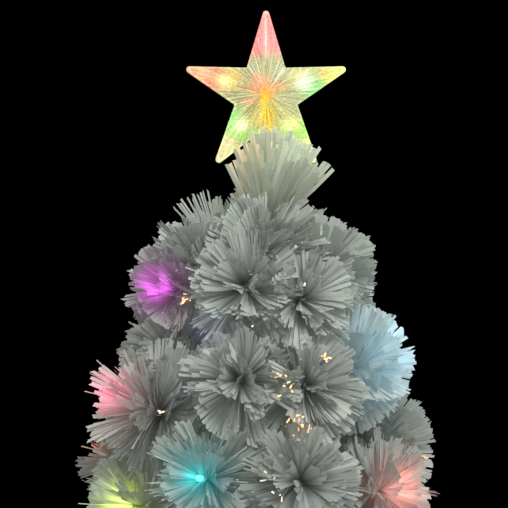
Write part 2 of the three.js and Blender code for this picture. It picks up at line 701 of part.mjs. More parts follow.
// Rocker with a hollow front, turned on its pin to the end of its swing; the pin is at the origin
function rockerGeometry() {
  const halfLength = SWITCH_HEIGHT / 2 - SWITCH_WALL - ROCKER_END_GAP;
  const halfWidth = SWITCH_WIDTH / 2 - SWITCH_WALL - ROCKER_SIDE_GAP;
  const outline = new THREE.Shape([
    new THREE.Vector2(-halfLength, ROCKER_DEPTH),
    new THREE.Vector2(-halfLength, 0),
    new THREE.Vector2(-halfLength / 2, -ROCKER_DEPTH),
    new THREE.Vector2(halfLength / 2, -ROCKER_DEPTH),
    new THREE.Vector2(halfLength, 0),
    new THREE.Vector2(halfLength, ROCKER_DEPTH),
    new THREE.Vector2(halfLength / 2, ROCKER_DEPTH - ROCKER_HOLLOW),
    new THREE.Vector2(-halfLength / 2, ROCKER_DEPTH - ROCKER_HOLLOW),
  ]);
  const block = new THREE.ExtrudeGeometry(outline, { depth: 2 * halfWidth, bevelEnabled: false, steps: 1 })
    .translate(0, 0, -halfWidth).rotateY(-Math.PI / 2);
  const pinReach = SWITCH_WIDTH / 2 - SEAT_GAP;
  const pin = cylinder(ROCKER_PIN_RADIUS, -pinReach, pinReach, SMALL_SIDES).rotateY(Math.PI / 2);
  return joinAndCut([block, pin], []);
}

// Inlet: flange, barrel, bore and centre pin in one turned body along Y, its flange back at y = 0
function inletGeometry() {
  const face = SEAT_GAP + INLET_FLANGE_THICKNESS;
  const boreFloor = face - INLET_BORE_DEPTH;
  return turned([
    [0, face - INLET_LENGTH],
    [INLET_BARREL_RADIUS, face - INLET_LENGTH],
    [INLET_BARREL_RADIUS, SEAT_GAP],
    [INLET_FLANGE_RADIUS, SEAT_GAP],
    [INLET_FLANGE_RADIUS, face],
    [INLET_BORE_RADIUS, face],
    [INLET_BORE_RADIUS, boreFloor],
    [INLET_PIN_RADIUS, boreFloor],
    [INLET_PIN_RADIUS, face - INLET_PIN_SETBACK],
    [0, face - INLET_PIN_SETBACK],
  ], SMALL_SIDES).rotateX(-Math.PI / 2);
}

// Direction at a polar angle from an axis and an angle round it
function aimed(frame, polar, turn) {
  return new THREE.Vector3()
    .addScaledVector(frame.axis, Math.cos(polar))
    .addScaledVector(frame.side, Math.sin(polar) * Math.cos(turn))
    .addScaledVector(frame.over, Math.sin(polar) * Math.sin(turn));
}

// The frame of a tuft: its axis, the level direction across it, and the direction over it
function tuftFrame(tilt, across) {
  const axis = new THREE.Vector3(Math.cos(tilt), 0, Math.sin(tilt));
  const side = across;
  return { axis, side, over: new THREE.Vector3().crossVectors(axis, side) };
}

// Half the angle between a branch and the nearest other branch of its collar
function halfGap(rows, number) {
  const gaps = rows.filter((_, other) => other !== number).map(([azimuth]) => {
    const apart = Math.abs(azimuth - rows[number][0]) % WHOLE_TURN;
    return Math.min(apart, WHOLE_TURN - apart);
  });
  return radians(Math.min(...gaps) / 2);
}

// How far the short fringe of a stem stands out at each of its points: none at either end,
// and elsewhere no more than the room beside the trunk and beside the next branch
function fringeReaches(stem, gap) {
  return stem.map((point, place) => {
    if (place < BARE_STEM_RINGS || place === stem.length - 1) {
      return 0;
    }
    const away = Math.hypot(point.x, point.y);
    const trunkRoom = away - COLLAR_RADIUS - FRINGE_MARGIN;
    const sideRoom = away * Math.sin(gap) * FRINGE_ROOM_SHARE - FRINGE_MARGIN;
    return Math.max(0, Math.min(FRINGE_REACH, trunkRoom, sideRoom));
  });
}

// Everything that a branch needs: where it stands, the path of its stem and the frame of its tuft
function planBranch(tier, row, number, collarHeight) {
  const [azimuth, reachShare, riseShare, tiltAngle, lamp] = row;
  const tilt = radians(tiltAngle);
  const frame = tuftFrame(tilt, new THREE.Vector3(0, 1, 0));
  const socketTilt = radians(COLLAR_SOCKET_TILT);
  const socketAim = new THREE.Vector3(Math.cos(socketTilt), 0, Math.sin(socketTilt));
  const socketMouth = new THREE.Vector3(COLLAR_RADIUS, 0, 0);
  const start = socketMouth.clone().addScaledVector(socketAim, SEAT_GAP - COLLAR_SOCKET_DEPTH);
  const apex = new THREE.Vector3(tier.reach * reachShare, 0, tier.rise * riseShare);
  const hubStart = apex.clone().addScaledVector(frame.axis, -HUB_TAPER_LENGTH - HUB_ROW_LENGTH);
  const bend = STEM_BEND_SHARE * start.distanceTo(hubStart);
  const curve = new THREE.CubicBezierCurve3(
    socketMouth.clone().addScaledVector(socketAim, STEM_RADIUS),
    socketMouth.clone().addScaledVector(socketAim, bend),
    hubStart.clone().addScaledVector(frame.axis, -bend),
    hubStart,
  );
  const stem = [start, ...curve.getPoints(STEM_CURVE_STEPS)];
  const turn = new THREE.Matrix4().makeRotationZ(radians(azimuth)).setPosition(0, 0, collarHeight);
  return {
    name: `branch_${tier.letter}${number + 1}`,
    azimuth: radians(azimuth), collarHeight, frame, apex, stem, curve, lamp,
    fringe: fringeReaches(stem, halfGap(tier.rows, number)),
    place: turn, back: turn.clone().invert(),
    stripLength: STRIP_LENGTH,
    rowAngles: [radians(SIDE_ROW_ANGLE), radians(FRONT_ROW_ANGLE)],
  };
}

// The top tuft points straight up, and its hub sits on the tip rod
function planTopTuft() {
  const frame = tuftFrame(Math.PI / 2, new THREE.Vector3(0, 1, 0));
  const place = new THREE.Matrix4().setPosition(0, 0, topTuftHeight);
  const foot = new THREE.Vector3(0, 0, -HUB_TAPER_LENGTH - HUB_ROW_LENGTH);
  return {
    name: 'top_tuft', azimuth: 0, collarHeight: topTuftHeight, frame,
    apex: new THREE.Vector3(), stem: [foot], fringe: [0], curve: null, lamp: PLAIN,
    place, back: place.clone().invert(),
    stripLength: TOP_STRIP_LENGTH,
    rowAngles: [radians(TOP_SIDE_ROW_ANGLE), radians(TOP_FRONT_ROW_ANGLE)],
  };
}

// Round obstacles that the locks of a tuft keep clear of: trunk, star and the stems of other branches
function trunkAndStarBalls() {
  const balls = [];
  for (let height = neckTop; height < trunkTop; height += COLLAR_RADIUS / 2) {
    balls.push({ centre: new THREE.Vector3(0, 0, height), radius: COLLAR_RADIUS });
  }
  for (let height = starSocketBottom; height < starHeight; height += STAR_SOCKET_RADIUS / 2) {
    balls.push({ centre: new THREE.Vector3(0, 0, height), radius: STAR_SOCKET_RADIUS, forTop: true });
  }
  const middle = new THREE.Vector3(0, 0, starHeight);
  for (const point of STAR_LOWER_POINTS) {
    const angle = Math.PI / 2 + (point / STAR_POINTS) * 2 * Math.PI;
    const tip = new THREE.Vector3(Math.cos(angle), 0, Math.sin(angle)).multiplyScalar(STAR_RADIUS);
    for (let step = 0; step <= STAR_EDGE_STEPS * 2; step += 1) {
      const share = step / (STAR_EDGE_STEPS * 2);
      balls.push({
        centre: middle.clone().addScaledVector(tip, share),
        radius: STAR_HALF_DEPTH + (STAR_RIM_HALF_DEPTH - STAR_HALF_DEPTH) * share,
        forTop: true,
      });
    }
  }
  return balls;
}

function stemBalls(plan) {
  const balls = [];
  for (let link = 0; link + 1 < plan.stem.length; link += 1) {
    const [from, to] = [plan.stem[link], plan.stem[link + 1]];
    const count = Math.ceil(from.distanceTo(to) / (2 * STEM_RADIUS));
    for (let step = 0; step <= count; step += 1) {
      const share = step / count;
      const centre = from.clone().lerp(to, share).applyMatrix4(plan.place);
      const fringe = THREE.MathUtils.lerp(plan.fringe[link], plan.fringe[link + 1], share);
      balls.push({ centre, radius: STEM_RADIUS + fringe });
    }
  }
  return balls;
}

// How far a strip can run from a point before it crosses half way to the next tuft
function freeLength(plan, others, from, aim, wanted) {
  let length = wanted;
  for (const other of others) {
    const between = other.clone().sub(plan.apex);
    const distance = between.length();
    between.divideScalar(distance);
    const ahead = aim.dot(between);
    if (ahead > 0) {
      const room = distance / 2 - STRIP_MARGIN - from.clone().sub(plan.apex).dot(between);
      length = Math.min(length, room / ahead);
    }
  }
  return length;
}

// The three tips of one lock, pulled back together while the lock lies too near an obstacle
function lockTips(plan, others, balls, root, polar, turn, halfSpread, seed) {
  const waver = (draw) => radians(LOCK_WAVER_ANGLE) * sway(seed + draw);
  const aims = [
    aimed(plan.frame, polar + waver(0), turn - halfSpread),
    aimed(plan.frame, polar + waver(1), turn + waver(2)),
    aimed(plan.frame, polar + waver(3), turn + halfSpread),
  ];
  const wanted = plan.stripLength * (1 - (LOCK_WAVER_SHARE / 2) * (1 + sway(seed + LOCK_DRAWS - 1)));
  const free = aims.map((aim) => freeLength(plan, others, root, aim, wanted));
  const lengths = [free[0], Math.min(free[1], LOCK_NOTCH_SHARE * (free[0] + free[2]) / 2), free[2]];
  let share = 1;
  while (share > LOCK_LEAST_SHARE && lockIsNear(balls, root, aims, lengths, share)) {
    share *= LOCK_TRIM_SHARE;
  }
  return aims.map((aim, place) => ({
    aim, point: root.clone().addScaledVector(aim, lengths[place] * share),
  }));
}

function lockIsNear(balls, root, aims, lengths, share) {
  const corners = [0, 2].map((place) => root.clone().addScaledVector(aims[place], lengths[place] * share));
  const sheet = new THREE.Triangle(root, corners[0], corners[1]);
  const nearest = new THREE.Vector3();
  return balls.some((ball) => {
    sheet.closestPointToPoint(ball.centre, nearest);
    return nearest.distanceTo(ball.centre) < ball.radius + LOCK_MARGIN;
  });
}

// A tuft as one body: stem with its fringe in points on alternate sides, hub, two rows
// of notched locks, and a lamp or a plain cap
function tuftGeometry(plan, others, balls, seed) {
  const points = [];
  const faces = [];
  const addPoint = (point) => points.push(point) - 1;
  const ring = (centre, axis, radii, twist) => {
    const over = new THREE.Vector3().crossVectors(axis, plan.frame.side);
    return Array.from({ length: LOCK_COUNT }, (_, corner) => {
      const angle = ((corner + twist) / LOCK_COUNT) * 2 * Math.PI;
      const radius = radii[corner % radii.length];
      return addPoint(centre.clone()
        .addScaledVector(plan.frame.side, radius * Math.cos(angle))
        .addScaledVector(over, radius * Math.sin(angle)));
    });
  };
  const next = (list, corner) => list[(corner + 1) % LOCK_COUNT];
  const bridge = (low, high) => low.forEach((_, corner) => {
    faces.push([low[corner], next(low, corner), next(high, corner)]);
    faces.push([low[corner], next(high, corner), high[corner]]);
  });
  const twistBridge = (low, high) => low.forEach((_, corner) => {
    faces.push([low[corner], next(low, corner), high[corner]]);
    faces.push([next(low, corner), next(high, corner), high[corner]]);
  });
  const along = (length) => plan.apex.clone().addScaledVector(plan.frame.axis, length);

  const stemRings = plan.stem.map((centre, place) => {
    const ahead = plan.stem[Math.min(place + 1, plan.stem.length - 1)];
    const behind = plan.stem[Math.max(place - 1, 0)];
    const axis = plan.curve ? ahead.clone().sub(behind).normalize() : plan.frame.axis;
    const atHub = place === plan.stem.length - 1;
    const radius = plan.curve ? STEM_RADIUS : HUB_RADIUS;
    const fringed = [radius + plan.fringe[place], radius];
    return ring(centre, atHub ? plan.frame.axis : axis, place % 2 === 0 ? fringed : fringed.reverse(), 0);
  });
  for (let corner = 1; corner < LOCK_COUNT - 1; corner += 1) {
    faces.push([stemRings[0][0], stemRings[0][corner + 1], stemRings[0][corner]]);
  }
  for (let place = 0; place + 1 < stemRings.length; place += 1) {
    bridge(stemRings[place], stemRings[place + 1]);
  }

  const rowStarts = [-HUB_ROW_LENGTH, HUB_WAIST_LENGTH];
  let below = stemRings[stemRings.length - 1];
  rowStarts.forEach((rowStart, row) => {
    const twist = row / 2;
    const low = ring(along(rowStart), plan.frame.axis, [HUB_RADIUS], twist);
    const high = ring(along(rowStart + HUB_ROW_LENGTH), plan.frame.axis, [HUB_RADIUS], twist);
    if (row === 0) {
      bridge(below, low);
    } else {
      twistBridge(below, low);
    }
    const root = along(rowStart + HUB_ROW_LENGTH / 2);
    for (let cell = 0; cell < LOCK_COUNT; cell += 1) {
      const turn = ((cell + twist + 1 / 2) / LOCK_COUNT) * 2 * Math.PI;
      const halfSpread = (LOCK_SPREAD_SHARE * Math.PI) / LOCK_COUNT;
      const lockNumber = (seed * ROW_COUNT + row) * LOCK_COUNT + cell;
      const tips = lockTips(plan, others, balls, root, plan.rowAngles[row], turn, halfSpread,
        lockNumber * LOCK_DRAWS);
      addLock([low[cell], next(low, cell), next(high, cell), high[cell]], tips, plan.rowAngles[row], turn);
    }
    below = high;
  });

  // One lock from its root cell: two faces of three triangles, two sides and a notched end
  function addLock([lowLeft, lowRight, highRight, highLeft], tips, polar, turn) {
    const lift = aimed(plan.frame, polar - Math.PI / 2, turn).multiplyScalar(STRIP_TIP_THICKNESS / 2);
    const [left, middle, right] = tips.map(({ point }) => addPoint(point.clone().sub(lift)));
    const [leftTop, middleTop, rightTop] = tips.map(({ point }) => addPoint(point.clone().add(lift)));
    faces.push([lowLeft, lowRight, right], [lowLeft, right, middle], [lowLeft, middle, left]);
    faces.push([highLeft, leftTop, middleTop], [highLeft, middleTop, rightTop]);
    faces.push([highLeft, rightTop, highRight]);
    faces.push([lowLeft, left, leftTop], [lowLeft, leftTop, highLeft]);
    faces.push([lowRight, highRight, rightTop], [lowRight, rightTop, right]);
    faces.push([left, middle, middleTop], [left, middleTop, leftTop]);
    faces.push([middle, right, rightTop], [middle, rightTop, middleTop]);
  }

  const hubEnd = HUB_WAIST_LENGTH + HUB_ROW_LENGTH;
  let nose = hubEnd + HUB_CAP_LENGTH;
  if (plan.lamp) {
    const bulbFoot = ring(along(hubEnd + HUB_CAP_LENGTH / 2), plan.frame.axis, [BULB_RADIUS], 1 / 2);
    const bulbTop = ring(along(hubEnd + BULB_LENGTH), plan.frame.axis, [BULB_RADIUS], 1 / 2);
    bridge(below, bulbFoot);
    bridge(bulbFoot, bulbTop);
    below = bulbTop;
    nose = hubEnd + BULB_LENGTH + BULB_NOSE;
  }
  const tip = addPoint(along(nose));
  below.forEach((corner, place) => faces.push([corner, next(below, place), tip]));

  const geometry = new THREE.BufferGeometry().setFromPoints(points);
  geometry.setIndex(faces.flat());
  return closedBody(geometry);
}

// Collar: a bevelled ring on the trunk with one tilted socket for each of its stems
function collarGeometry(plans) {
  const half = COLLAR_HEIGHT / 2;
  const bore = TRUNK_RADIUS + SEAT_GAP;
  const ringBody = turnedRing([
    [bore, -half],
    [COLLAR_RADIUS - COLLAR_BEVEL, -half],
    [COLLAR_RADIUS, COLLAR_BEVEL - half],
    [COLLAR_RADIUS, half - COLLAR_BEVEL],
    [COLLAR_RADIUS - COLLAR_BEVEL, half],
    [bore, half],
  ], SMALL_SIDES);
  const sockets = plans.map((plan) => (
    cylinder(STEM_RADIUS + SEAT_GAP, -COLLAR_SOCKET_DEPTH, COLLAR_RADIUS, FINE_SIDES)
      .rotateY(Math.PI / 2 - radians(COLLAR_SOCKET_TILT))
      .translate(COLLAR_RADIUS, 0, 0).rotateZ(plan.azimuth)));
  return joinAndCut([ringBody], sockets);
}

// Outline of the star in its own plane: straight flanks and rounded points, first point up
function starOutline() {
  const outline = [];
  const half = STAR_EDGE_STEPS;
  for (let point = 0; point < STAR_POINTS; point += 1) {
    const aim = Math.PI / 2 + (point / STAR_POINTS) * 2 * Math.PI;
    const pitch = Math.PI / STAR_POINTS;
    const corner = (radius, angle) => new THREE.Vector2(radius * Math.cos(angle), radius * Math.sin(angle));
    const before = corner(STAR_NOTCH_RADIUS, aim - pitch);
    const after = corner(STAR_NOTCH_RADIUS, aim + pitch);
    const sharp = corner(STAR_RADIUS + STAR_TIP_ROUND, aim);
    const blunt = corner(STAR_RADIUS, aim);
    for (let step = 0; step < half; step += 1) {
      outline.push(before.clone().lerp(sharp, (step / half) * roundedShare(before, sharp)));
    }
    outline.push(blunt);
    for (let step = half - 1; step > 0; step -= 1) {
      outline.push(after.clone().lerp(sharp, (step / half) * roundedShare(after, sharp)));
    }
  }
  return outline;
}

// The share of a flank that stays straight before the rounded point
function roundedShare(notch, sharp) {
  return 1 - STAR_TIP_ROUND / notch.distanceTo(sharp);
}

// One shell of the star, bulging towards -Y by its half depth, with radial ribs and an open back
function starShell() {
  const outline = starOutline();
  const count = outline.length;
  const innerShare = 1 - STAR_WALL / STAR_NOTCH_RADIUS;
  const rib = (place, share) => (place % 2 === 0 ? 1 : -1) * (STAR_RIB_HEIGHT / 2) * share;
  const bulge = (share) => STAR_RIM_HALF_DEPTH + (STAR_HALF_DEPTH - STAR_RIM_HALF_DEPTH) * (1 - share);
  const parting = SEAT_GAP / 2;
  const rings = [
    { share: STAR_RING_SHARE, depth: (place) => bulge(STAR_RING_SHARE) + rib(place, 1) },
    { share: 1, depth: () => STAR_RIM_HALF_DEPTH },
    { share: 1, depth: () => parting },
    { share: innerShare, depth: () => parting },
    { share: innerShare, depth: () => STAR_RIM_HALF_DEPTH - STAR_WALL },
    {
      share: STAR_RING_SHARE * innerShare,
      depth: (place) => bulge(STAR_RING_SHARE) + rib(place, 1) - STAR_WALL,
    },
  ];
  const points = [new THREE.Vector3(0, -STAR_HALF_DEPTH, 0)];
  for (const { share, depth } of rings) {
    outline.forEach((corner, place) => {
      points.push(new THREE.Vector3(corner.x * share, -depth(place), corner.y * share));
    });
  }
  points.push(new THREE.Vector3(0, STAR_WALL - STAR_HALF_DEPTH, 0));
  const faces = [];
  const at = (level, place) => 1 + level * count + (place % count);
  for (let place = 0; place < count; place += 1) {
    faces.push(0, at(0, place), at(0, place + 1));
    for (let level = 0; level + 1 < rings.length; level += 1) {
      faces.push(at(level, place), at(level + 1, place), at(level + 1, place + 1));
      faces.push(at(level, place), at(level + 1, place + 1), at(level, place + 1));
    }
    faces.push(points.length - 1, at(rings.length - 1, place + 1), at(rings.length - 1, place));
  }
  const geometry = new THREE.BufferGeometry().setFromPoints(points);
  geometry.setIndex(faces);
  const neckHole = cylinder(STAR_NECK_RADIUS + SEAT_GAP, -STAR_RADIUS,
    starSocketTop() + SEAT_GAP, SMALL_SIDES);
  return joinAndCut([geometry], [neckHole]);
}

// The socket ends under the lamp plate, where its two lower arms have spread clear of the neck
function starSocketTop() {
  const halfPitch = Math.PI / STAR_POINTS;
  const armEdge = STAR_LAMP_ARM_WIDTH / 2 / Math.cos(halfPitch);
  const armsClear = (STAR_NECK_RADIUS + SEAT_GAP + armEdge) / Math.tan(halfPitch);
  return -Math.max(STAR_LAMP_PLATE_RADIUS + SEAT_GAP, armsClear);
}

// Socket of the star: bored for the tip rod below, narrowed where it enters the shells
function starSocketGeometry() {
  const top = starSocketTop();
  const bottom = starSocketBottom - starHeight;
  const neckBottom = -STAR_NOTCH_RADIUS - STAR_RIM_HALF_DEPTH;
  const boreTop = SEAT_GAP - STAR_CLIMB;
  const pinFloor = top - STAR_LAMP_PIN_LENGTH;
  return turned([
    [0, pinFloor],
    [STAR_LAMP_PIN_RADIUS + SEAT_GAP, pinFloor],
    [STAR_LAMP_PIN_RADIUS + SEAT_GAP, top],
    [STAR_NECK_RADIUS, top],
    [STAR_NECK_RADIUS, neckBottom],
    [STAR_SOCKET_RADIUS, neckBottom - STAR_NECK_TAPER],
    [STAR_SOCKET_RADIUS, bottom],
    [ROD_RADIUS + SEAT_GAP, bottom],
    [ROD_RADIUS + SEAT_GAP, boreTop],
    [0, boreTop],
  ], SMALL_SIDES);
}

// Lamp spider of the star: a plate with an arm and a bulb to each point, pinned into the socket
function starLampGeometry() {
  const circle = STAR_RADIUS * STAR_LAMP_CIRCLE_SHARE;
  const halfPlate = STAR_LAMP_PLATE_THICKNESS / 2;
  const plate = cylinder(STAR_LAMP_PLATE_RADIUS, -halfPlate, halfPlate, SMALL_SIDES).rotateX(Math.PI / 2);
  const arms = Array.from({ length: STAR_POINTS }, (_, point) => (
    boxBetween([-STAR_LAMP_ARM_WIDTH / 2, -halfPlate, 0], [STAR_LAMP_ARM_WIDTH / 2, halfPlate, circle])
      .rotateY((point / STAR_POINTS) * 2 * Math.PI)));
  const bulbs = Array.from({ length: STAR_POINTS }, (_, point) => (
    new THREE.SphereGeometry(STAR_LAMP_BULB_RADIUS, FINE_SIDES, LENS_STEPS).translate(0, 0, circle)
      .rotateY((point / STAR_POINTS) * 2 * Math.PI)));
  const pinBottom = starSocketTop() - STAR_LAMP_PIN_LENGTH + SEAT_GAP;
  const pin = cylinder(STAR_LAMP_PIN_RADIUS, pinBottom, 0, SMALL_SIDES);
  return joinAndCut([plate, ...arms, ...bulbs, pin], []);
}

// Base: everything that stands still
const base = new THREE.Group();
base.add(named('base_housing', housingGeometry(), whiteHousing));
base.add(named('base_cover', coverGeometry(), whiteHousing));
roundCircle(FOOT_COUNT, footCircleRadius, 0, (x, y, number) => {
  const foot = named(`foot_${number + 1}`, footGeometry(), rubber);
  foot.position.set(x, y, 0);
  base.add(foot);
});
const lampModule = named('led_module', lampModuleGeometry(), steel);
lampModule.position.z = engineBottom;
const motor = named('wheel_motor', motorGeometry(), steel);
motor.position.set(WHEEL_OFFSET, 0, engineBottom);
const wheel = named('colour_wheel', wheelGeometry(), wheelFilm);
wheel.position.set(WHEEL_OFFSET, 0, wheelBottom);
base.add(lampModule, motor, wheel);

// Controls on the pad, and the thumb screw in the neck
const switchBody = named('switch_body', switchBodyGeometry(), blackPlastic);
switchBody.position.set(SWITCH_SIDE_OFFSET, panelFace, panelHeight);
const rocker = named('switch_rocker', rockerGeometry(), blackPlastic);
rocker.position.set(SWITCH_SIDE_OFFSET,
  panelFace + SEAT_GAP + SWITCH_FLANGE_THICKNESS - ROCKER_PIN_SETBACK, panelHeight);
rocker.rotation.x = radians(ROCKER_SWING_ANGLE);
const inlet = named('dc_inlet', inletGeometry(), blackPlastic);
inlet.position.set(INLET_SIDE_OFFSET, panelFace, panelHeight);
const thumbScrew = named('thumb_screw', thumbScrewGeometry(), steel);
thumbScrew.position.set(0, TRUNK_RADIUS + SEAT_GAP, domeTop + NECK_HEIGHT / 2);
base.add(switchBody, rocker, inlet, thumbScrew);

// Tree: trunk, bundle, collars and branches, which lift out of the base together
const tree = new THREE.Group();
const trunk = named('trunk_tube', trunkGeometry(), whiteHousing);
trunk.position.z = trunkBottom;
const bundle = named('fibre_bundle', bundleGeometry(), clearPlastic);
bundle.position.z = bundleBottom;
const rod = named('tip_rod', rodGeometry(), whiteHousing);
rod.position.z = trunkTop;
tree.add(trunk, bundle, rod);

const plans = TIERS.map((tier, level) => (
  tier.rows.map((row, number) => planBranch(tier, row, number, collarHeights[level]))));
const topPlan = planTopTuft();
const allPlans = [...plans.flat(), topPlan];
const fixedBalls = trunkAndStarBalls();

// The geometry of one tuft among all the others, in its own frame
function fittedTuft(plan) {
  const toOwn = (ball) => ({ ...ball, centre: ball.centre.clone().applyMatrix4(plan.back) });
  const rest = allPlans.filter((other) => other !== plan);
  const others = rest.map((other) => other.apex.clone().applyMatrix4(other.place).applyMatrix4(plan.back));
  const solidBalls = fixedBalls.filter((ball) => ball.forTop || plan !== topPlan);
  const balls = [...solidBalls, ...rest.flatMap(stemBalls)].map(toOwn);
  return tuftGeometry(plan, others, balls, allPlans.indexOf(plan));
}

plans.forEach((tierPlans, level) => {
  const collar = named(`collar_${TIERS[level].letter}`, collarGeometry(tierPlans), whiteHousing);
  collar.position.z = collarHeights[level];
  tree.add(collar);
  for (const plan of tierPlans) {
    const branch = named(plan.name, fittedTuft(plan), whiteStrips);
    branch.position.z = plan.collarHeight;
    branch.rotation.z = plan.azimuth;
    tree.add(branch);
  }
});

const rodBore = cylinder(ROD_RADIUS + SEAT_GAP, -TOP_TUFT_CLIMB, TOP_STRIP_LENGTH, SMALL_SIDES);
const topTuft = named('top_tuft', joinAndCut([fittedTuft(topPlan)], [rodBore]), whiteStrips);
topTuft.position.z = topTuftHeight;
tree.add(topTuft);

// Star: two shells, the socket and the lamp spider, which lift off the rod together
const star = new THREE.Group();
star.position.z = starHeight;
const rearShell = named('star_rear_shell', starShell(), clearShell);
rearShell.rotation.z = Math.PI;
star.add(named('star_front_shell', starShell(), clearShell), rearShell);
star.add(named('star_socket', starSocketGeometry(), clearPlastic));
star.add(named('star_lamps', starLampGeometry(), clearPlastic));

const group = new THREE.Group();
group.add(base, tree, star);
export default group;
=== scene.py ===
"""Looks of the fibre optic tabletop tree: white strip foliage, lamps in its tufts, clear fibres, a ribbed
star and the base.

Everything is in metres in the frame of the solids, standing on z = 0 with its front towards -Y.
"""
import math

import bpy
import numpy as np
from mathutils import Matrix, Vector


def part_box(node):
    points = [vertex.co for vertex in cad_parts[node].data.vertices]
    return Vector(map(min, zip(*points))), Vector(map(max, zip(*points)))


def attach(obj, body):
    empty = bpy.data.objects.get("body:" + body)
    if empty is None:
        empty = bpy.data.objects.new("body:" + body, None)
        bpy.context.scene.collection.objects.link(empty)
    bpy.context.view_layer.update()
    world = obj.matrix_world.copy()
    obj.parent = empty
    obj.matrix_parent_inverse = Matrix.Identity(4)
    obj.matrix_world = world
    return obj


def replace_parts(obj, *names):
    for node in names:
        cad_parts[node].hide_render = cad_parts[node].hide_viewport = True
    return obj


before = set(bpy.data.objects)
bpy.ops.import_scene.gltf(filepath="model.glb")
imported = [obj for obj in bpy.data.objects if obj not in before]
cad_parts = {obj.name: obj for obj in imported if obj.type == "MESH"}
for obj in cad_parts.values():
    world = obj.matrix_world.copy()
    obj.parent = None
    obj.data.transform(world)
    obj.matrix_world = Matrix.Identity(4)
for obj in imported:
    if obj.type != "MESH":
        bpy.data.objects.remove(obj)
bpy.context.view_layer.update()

MM = 0.001
UP = np.array([0, 0, 1.0])


def screen(red, green, blue):
    """Linear light of a screen colour: c/12.92 when c is small, otherwise ((c + 0.055) / 1.055)^2.4."""
    c = np.array([red, green, blue]) / 255
    return np.where(c <= 0.04045, c / 12.92, ((c + 0.055) / 1.055) ** 2.4)


def unit(vectors):
    """Each vector divided by its own length."""
    return vectors / np.linalg.norm(vectors, axis=-1, keepdims=True)


def bell(ratio):
    """One at nought, falling off as exp(-ratio^2)."""
    return np.exp(-ratio ** 2)


def linked(name, data):
    """A new object in the scene that holds the data."""
    made = bpy.data.objects.new(name, data)
    bpy.context.scene.collection.objects.link(made)
    return made


# shader nodes

def feed(tree, node, inputs):
    """Set a node's inputs; each is a plain value or the socket that feeds it."""
    for key, value in inputs.items():
        if isinstance(value, bpy.types.NodeSocket):
            tree.links.new(value, node.inputs[key])
        else:
            node.inputs[key].default_value = value


def add(tree, kind, inputs=None, output=0, **settings):
    """Add a node and give back one of its outputs."""
    made = tree.nodes.new("ShaderNode" + kind)
    for key, value in settings.items():
        setattr(made, key, value)
    feed(tree, made, inputs or {})
    return made.outputs[output]


def object_place(tree):
    return add(tree, "TexCoord", output="Object")


def drawn_out(tree, scale, place=None):
    """Places with a scale of their own on each axis."""
    return add(tree, "Mapping", {"Vector": place or object_place(tree), "Scale": scale})


def grain(tree, scale, detail=3.0, place=None):
    return add(tree, "TexNoise", {"Vector": place or object_place(tree), "Scale": scale, "Detail": detail})


def two_tones(tree, factor, low, high):
    return add(tree, "Mix", {"Factor": factor, "A": (*low, 1), "B": (*high, 1)}, "Result", data_type="RGBA")


def spread(tree, factor, start, end, low, high, **settings):
    """A value that runs from low to high while the factor runs from start to end."""
    return add(tree, "MapRange", {
        "Value": factor, "From Min": start, "From Max": end, "To Min": low, "To Max": high}, **settings)


def tinted(tree, colour, tone):
    return add(tree, "VectorMath", {0: colour, 1: tone}, operation="MULTIPLY")


def bumped(tree, height, strength, millimetres):
    return add(tree, "Bump", {"Height": height, "Strength": strength, "Distance": millimetres * MM})


# camera and lights

CAMERA_DISTANCE = 1.7
CAMERA_SIDE = -0.0113
CAMERA_HEIGHT = 0.4115
VIEW_WIDTH = 0.47752
SENSOR = 36

STUDIO_TONE = (0.62, 0.64, 0.62)
STUDIO_STRENGTH = 0.62
LAMP_SIZE = 0.9
TREE_MIDDLE = (0, 0, 0.36)
# Soft lamps: name, place, target, power
STUDIO_LAMPS = [
    ("front_light", (0.3, -1.35, 1.45), (0, 0, 0.45), 19.5),
    ("left_light", (-1.5, -0.9, 0.9), TREE_MIDDLE, 6),
    ("right_light", (1.5, -0.6, 0.9), TREE_MIDDLE, 9),
    ("back_light", (0.2, 1.9, 1.3), TREE_MIDDLE, 11),
]


def place_camera():
    data = bpy.data.cameras.new("photo_camera")
    camera = linked("photo_camera", data)
    camera.location = (CAMERA_SIDE, -CAMERA_DISTANCE, CAMERA_HEIGHT)
    camera.rotation_euler = (math.pi / 2, 0, 0)
    data.sensor_width = SENSOR
    data.lens = SENSOR * CAMERA_DISTANCE / VIEW_WIDTH
    bpy.context.scene.camera = camera


def light_the_studio():
    """Soft light all round that only matt surfaces see, and soft lamps; the camera, gloss and clear plastic
    see a dark backdrop."""
    world = bpy.data.worlds.new("studio")
    bpy.context.scene.world = world
    world.use_nodes = True
    tree = world.node_tree
    rays = add(tree, "LightPath").node.outputs
    seen = rays["Is Camera Ray"]
    for kind in ("Is Glossy Ray", "Is Transmission Ray"):
        seen = add(tree, "Math", {0: seen, 1: rays[kind]}, operation="MAXIMUM")
    feed(tree, tree.nodes["Background"], {
        "Color": two_tones(tree, seen, STUDIO_TONE, (0, 0, 0)), "Strength": STUDIO_STRENGTH})
    for name, place, target, power in STUDIO_LAMPS:
        data = bpy.data.lights.new(name, "AREA")
        data.shape = "DISK"
        data.size = LAMP_SIZE
        data.energy = power
        lamp = linked(name, data)
        lamp.location = place
        aim = Vector([t - p for t, p in zip(target, place)])
        lamp.rotation_euler = aim.to_track_quat("-Z", "Y").to_euler()


# meshes from arrays

